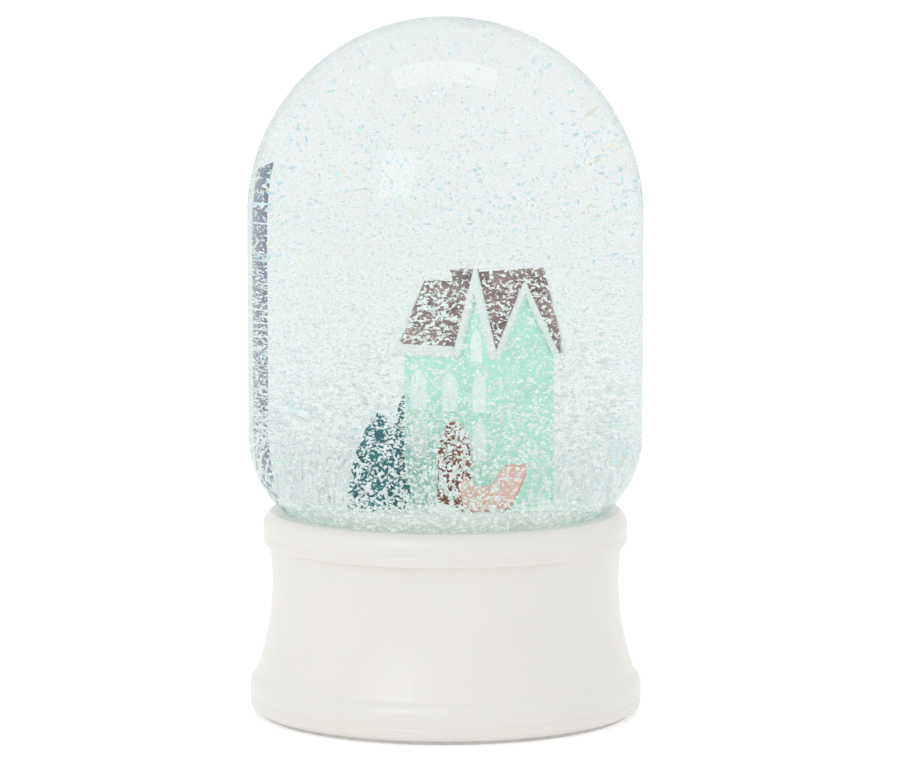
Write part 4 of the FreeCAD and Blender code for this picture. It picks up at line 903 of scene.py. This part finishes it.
def make_ground(snow):
    """The moulded snow disc, uneven on top, with a rounded, rippled rim."""
    shape = bmesh.new()

    def uneven(r, angle, z):
        x, y = r * math.cos(angle), r * math.sin(angle)
        if z > GROUND_Z - 0.6:
            edge = max(0.0, min(1.0, (GROUND_R - r) / 2.5))
            z -= 0.28 * edge * (1 + noise.noise(Vector((x * 0.35, y * 0.35, 2.0)))) * 0.5
        return r, z

    top = [(GROUND_R * (1 - i / 24), GROUND_Z) for i in range(2, 24)]
    rim = arc(GROUND_R - 1.5, GROUND_Z - 1.5, 1.5, 0, 90, 6)
    side = [(GROUND_R, STOPPER_Z + 0.05), (GROUND_R, GROUND_Z - 6.5), (GROUND_R, GROUND_Z - 4)]
    profile = [(0, STOPPER_Z + 0.05)] + side + rim + top + [(0, GROUND_Z - 0.1)]
    lathe(shape, profile, 128, closed=False, ripple=uneven)
    return piece("snow_field", shape, snow, ("snow_ground",))


def make_mounds(snow):
    shape = bmesh.new()
    for index, (x, y, radius) in enumerate(MOUNDS):
        size = radius / 1.28
        lump(shape, Vector((x, y, GROUND_Z)), (size, size, size), index * 5 + 1, level=3, rough=0.1)
    return piece("snow_drifts", shape, snow, ("snow_mounds",))


# ---- flakes

FLAKE_GAP = 1.2
FLAKE_ROOM = DOME_R - WALL - FLAKE_GAP
DRIFTING, HEAPED, SUNK = 30000, 1700, 3800
# painted colour fringes of the light that the glass spreads, each (share of flakes, tint); a small flake
# takes half of its tint, and a long one most of it
PAINTED_FRINGE_TINTS = ((0.22, (0.52, 0.8, 1.0)), (0.36, (1.0, 0.84, 0.58)), (0.46, (0.55, 1.0, 0.95)))
LONG_FLAKE = 2.1


def inside_scene(x, y, z):
    """Whether a spot is inside the house, a tree, the sleigh or a drift, with a little room."""
    if z < GROUND_Z + 0.3:
        return True
    local = HOUSE.inverted() @ Vector((x, y, z))
    margin = 0.9 if local.z < WALLS - 1 else 1.4
    along = -margin - OVERHANG < local.x < HOUSE_W + margin
    if along and -margin - 0.5 < local.y < HOUSE_D + REAR_OVERHANG + margin:
        roof = roof_height(min(max(local.x, 0), HOUSE_W), min(max(local.y, 0), HOUSE_D))
        if local.z < roof + 0.5:
            return True
    for tx, ty, radius, height, *_ in TREES.values():
        share = (z - GROUND_Z) / height
        if share < 1 and math.hypot(x - tx, y - ty) < tree_reach(radius, max(0.0, share)) + 0.3:
            return True
    off = Vector((x, y, z)) - SLEIGH
    top = SLEIGH_LIFT + SLEIGH_BACK * (0.62 if off.x < SLEIGH_LONG * 0.5 else 1.0)
    if -0.4 < off.x < SLEIGH_LONG + 0.4 and abs(off.y) < SLEIGH_WIDE / 2 + 0.4 and off.z < top + 0.3:
        return True
    return any(math.dist((x, y, z), (mx, my, GROUND_Z)) < radius + 0.3 for mx, my, radius in MOUNDS)


def room_at(z):
    """How far from the axis a flake can be at a height."""
    if z > DOME_Z:
        return leg(FLAKE_ROOM, min(z - DOME_Z, FLAKE_ROOM))
    if z > SHOULDER_Z:
        return FLAKE_ROOM
    return DOME_R - SHOULDER_R + leg(SHOULDER_R - WALL - FLAKE_GAP, SHOULDER_Z - z)


def tumble(chance, spread):
    """A seeded turn: any heading, and a tilt about X."""
    heading = Matrix.Rotation(chance.uniform(0, 6.283), 3, "Z")
    return heading @ Matrix.Rotation(chance.gauss(0, spread), 3, "X")


def by_side(x, z):
    """Whether a spot is at the sides of the glass, which spread light into colours."""
    return abs(x) > 0.66 * room_at(z)


def drifting_spots(count, chance):
    """Seeded places for loose flakes, thick near the snow and thin at the top, each with a free turn."""
    spots = []
    top = DOME_Z + DOME_R - WALL - 1.5
    while len(spots) < count:
        z = GROUND_Z + 0.3 + (top - GROUND_Z) * chance.random()
        keep = (0.012 + math.exp(-(z - GROUND_Z) / 44.0)) * (0.55 if z > 150 else 1.0)
        x, y = chance.uniform(-DOME_R, DOME_R), chance.uniform(-DOME_R, DOME_R)
        if z < 150 and abs(x) > 0.8 * room_at(z):
            keep += 0.12
        if chance.random() > keep:
            continue
        if math.hypot(x, y) > room_at(z) or inside_scene(x, y, z):
            continue
        spin = tumble(chance, 0.8)
        size = 1.15 - 0.45 * (z - GROUND_Z) / (top - GROUND_Z)
        if by_side(x, z) and 115 < z < 165 and chance.random() < 0.14:
            size = LONG_FLAKE
        spots.append((Vector((x, y, z)), spin @ Matrix.Rotation(chance.gauss(0, 0.8), 3, "Y"), size))
    return spots


def trench_spots(count, chance):
    """Seeded places for the flakes that sink into the trench between the ground's rim and the glass."""
    spots = []
    while len(spots) < count:
        z = 52.0 + chance.expovariate(0.3)
        r = chance.uniform(GROUND_R + 0.35, GROUND_R + 8)
        if z > GROUND_Z + 0.3 or r > room_at(z):
            continue
        angle = chance.uniform(0, 2 * math.pi)
        spots.append((Vector((r * math.cos(angle), r * math.sin(angle), z)), tumble(chance, 0.9), 1.1))
    return spots


def heaped_spots(count, chance):
    """Seeded places for the flakes heaped on the ground between the pieces of the scene."""
    spots = []
    while len(spots) < count:
        x, y = chance.uniform(-GROUND_R, GROUND_R), chance.uniform(-GROUND_R, GROUND_R)
        z = GROUND_Z + 0.32 + chance.expovariate(1.2)
        if math.hypot(x, y) > GROUND_R - 0.5 or inside_scene(x, y, z):
            continue
        spots.append((Vector((x, y, z)), tumble(chance, 0.6), 1.3))
    return spots


def settled_spots(hosts, chance):
    """Seeded places for flakes that lie on what faces up in the scene's own pieces."""
    spots = []
    for host, per_area, steepest in hosts:
        mesh = host.data
        for face in mesh.polygons:
            normal = face.normal
            if normal.z < steepest or face.center.z < (GROUND_Z - 6) * MM:
                continue
            wanted = face.area / MM ** 2 * per_area * max(normal.z, 0.3)
            for _ in range(int(wanted) + (chance.random() < wanted % 1)):
                corners = [mesh.vertices[i].co for i in face.vertices]
                a, b = chance.random(), chance.random()
                if a + b > 1:
                    a, b = 1 - a, 1 - b
                pick = chance.randrange(1, len(corners) - 1)
                spot = corners[0] + (corners[pick] - corners[0]) * a + (corners[pick + 1] - corners[0]) * b
                spin = normal.to_track_quat("Z", "Y").to_matrix() @ tumble(chance, 0.25)
                spots.append((spot / MM + normal * chance.uniform(0.08, 0.3), spin, 1.5))
    return spots


def make_flakes(name, spots, chance, material, stands_for=()):
    """Thin, uneven chips of plastic snow, each a folded four-cornered scale; some of those at the glass's
    sides and top take a painted colour fringe of the light that the glass spreads.
    """
    points, faces, tones_and_painted_fringes = [], [], []
    for centre, spin, size in spots:
        long, wide = size * chance.uniform(0.36, 0.72), min(size, 1.5) * chance.uniform(0.2, 0.4)
        fold = chance.uniform(0.03, 0.08)
        skew = chance.uniform(-0.2, 0.2)
        plan = ((-long, skew * wide, fold), (skew * long, -wide, -fold), (long, -skew * wide, fold),
                (-skew * long + skew * 0.3, wide, -fold))
        first = len(points)
        for corner in plan:
            points.append(tuple((spin @ Vector(corner) + centre) * MM))
        a, b, c, d = range(first, first + 4)
        faces += [(a, b, c), (a, c, d), (a, d, b), (b, d, c)]
        kind = chance.random()
        bright = chance.uniform(0.86, 1.0)
        tone = (1.0, 1.0, 1.0)
        if size == LONG_FLAKE:
            kind *= PAINTED_FRINGE_TINTS[-1][0]
        # painted light: the tint stands for the colour fringes that the glass spreads, and it is painted on
        # flakes at the glass's sides and top
        for limit, tint in PAINTED_FRINGE_TINTS if by_side(centre.x, centre.z) or centre.z > 122 else ():
            if kind < limit:
                tone = [(1 + 3 * part) / 4 if size == LONG_FLAKE else (1 + part) / 2 for part in tint]
                break
        tones_and_painted_fringes += [(*(part * bright for part in tone), 1.0)] * 4
    mesh = bpy.data.meshes.new(name)
    mesh.from_pydata(points, [], faces)
    attribute = mesh.color_attributes.new("tone", "FLOAT_COLOR", "POINT")
    attribute.data.foreach_set("color", np.array(tones_and_painted_fringes, np.float32).ravel())
    dress(bpy.data.objects.new(name, mesh), material, stands_for)


# ---- pedestal and its fittings

def pedestal_profile():
    """The turned outline from the plate's recess round the foot, up the waist and down the bore."""
    points = [(40.5, 1.0), (47.9, 1.0)]
    points += arc(47.9, 2.9, 1.9, -80, 0, 6)
    points += between((49.8, 3.9), (49.8, 4.7), 0.13, 5)
    points += between((49.8, 6.9), (48.45, 10.2), -0.45, 6)
    points += [(48.24, 10.5), (48.02, 10.95)]
    points += between((47.85, 11.5), (44.43, 40.3), 1.6, 20)
    points += between((44.6, 40.8), (46.2, 43.6), 0.4, 6)
    points += [(46.2, 45.5), (46.04, 45.85)]
    points += between((46.08, 46.2), (44.3, 51.5), -0.95, 8)
    points += [(41.28, 51.5)]
    points += between((41.0, 51.2), (38.0, 49.13), 0.1, 5)
    points += [(38.0, 34.5), (39.5, 33.3), (39.5, 14.5), (40.5, 14.5)]
    return points


def make_pedestal():
    """The turned pedestal, and inside it the three bosses that the plate's screws go into."""
    shape = bmesh.new()
    lathe(shape, pedestal_profile(), 160)
    satin = look("pedestal_resin")
    made = piece("turned_pedestal", shape, satin, crease=28)
    bosses = bmesh.new()
    boss = [(1.3, 14.5), (4.0, 14.5), (4.0, 24.0), (0, 24.0), (0, 22.6), (1.3, 22.6)]
    for angle in (math.pi, math.radians(300), math.radians(420)):
        lathe(bosses, boss, 32, centre=(BOSS_CIRCLE * math.cos(angle), BOSS_CIRCLE * math.sin(angle)))
    piece("pedestal_bosses", bosses, satin)
    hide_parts("pedestal")


FITTINGS = {
    # material: the CAD nodes that have it
    "black_rubber": ("rubber_stopper",),
    "sealant": ("bonding_ring",),
    "plate_plastic": ("bottom_plate",),
    "felt": ("felt_ring",),
    "zinc_steel": ("plate_screws", "movement_screws", "comb_screws", "bedplate", "spring_housing",
                   "near_shaft_bracket", "far_shaft_bracket", "comb_block", "drum_shaft", "fly_axle",
                   "winding_arbor", "winding_key"),
    "brass": ("music_drum", "drum_pinion", "great_wheel"),
    "spring_steel": ("tone_comb", "mainspring"),
    "nylon_white": ("drum_wheel", "fly_pinion", "fly_vanes"),
}


def paint(node, material):
    """Gives a CAD node that stays its worked material."""
    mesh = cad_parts[node].data
    mesh.materials.clear()
    mesh.materials.append(material)
    for face in mesh.polygons:
        face.material_index = 0


def dress_fittings():
    """The closure and the movement keep their CAD meshes."""
    for name, nodes in FITTINGS.items():
        material = look(name)
        for node in nodes:
            paint(node, material)


def make_all():
    chance = random.Random(7)
    snow, trim, brown, teal = (look(name) for name in ("snow_white", "trim_white", "roof_brown", "tree_teal"))
    make_dome()
    make_liquid()
    make_walls()
    # each host of settled flakes: (piece, flakes per square millimetre, the lowest upward part of its normal)
    hosts = []
    for roof in SLOPES:
        paint(roof + "_roof", brown)
        hosts.append((make_shingles(roof, chance, brown), 0.75, 0.25))
    make_boards(trim, chance)
    make_chimney()
    make_windows()
    hosts.append((make_door(chance), 0.8, -0.1))
    for name in TREES:
        hosts.append((make_tree(name, teal), 0.2, 0.25))
    make_sleigh()
    hosts.append((make_ground(snow), 1.2, -0.1))
    hosts.append((make_mounds(snow), 1.2, 0.0))
    white, lying = look("white_flake"), look("lying_flake")
    make_flakes("drifting_flakes", drifting_spots(DRIFTING, chance), chance, white, ("snow_flakes",))
    make_flakes("heaped_flakes", heaped_spots(HEAPED, chance) + trench_spots(SUNK, chance), chance, lying)
    make_flakes("settled_flakes", settled_spots(hosts, chance), chance, lying)
    make_pedestal()
    dress_fittings()


make_all()
make_camera()
make_studio()
make_floor()
make_dark_card()
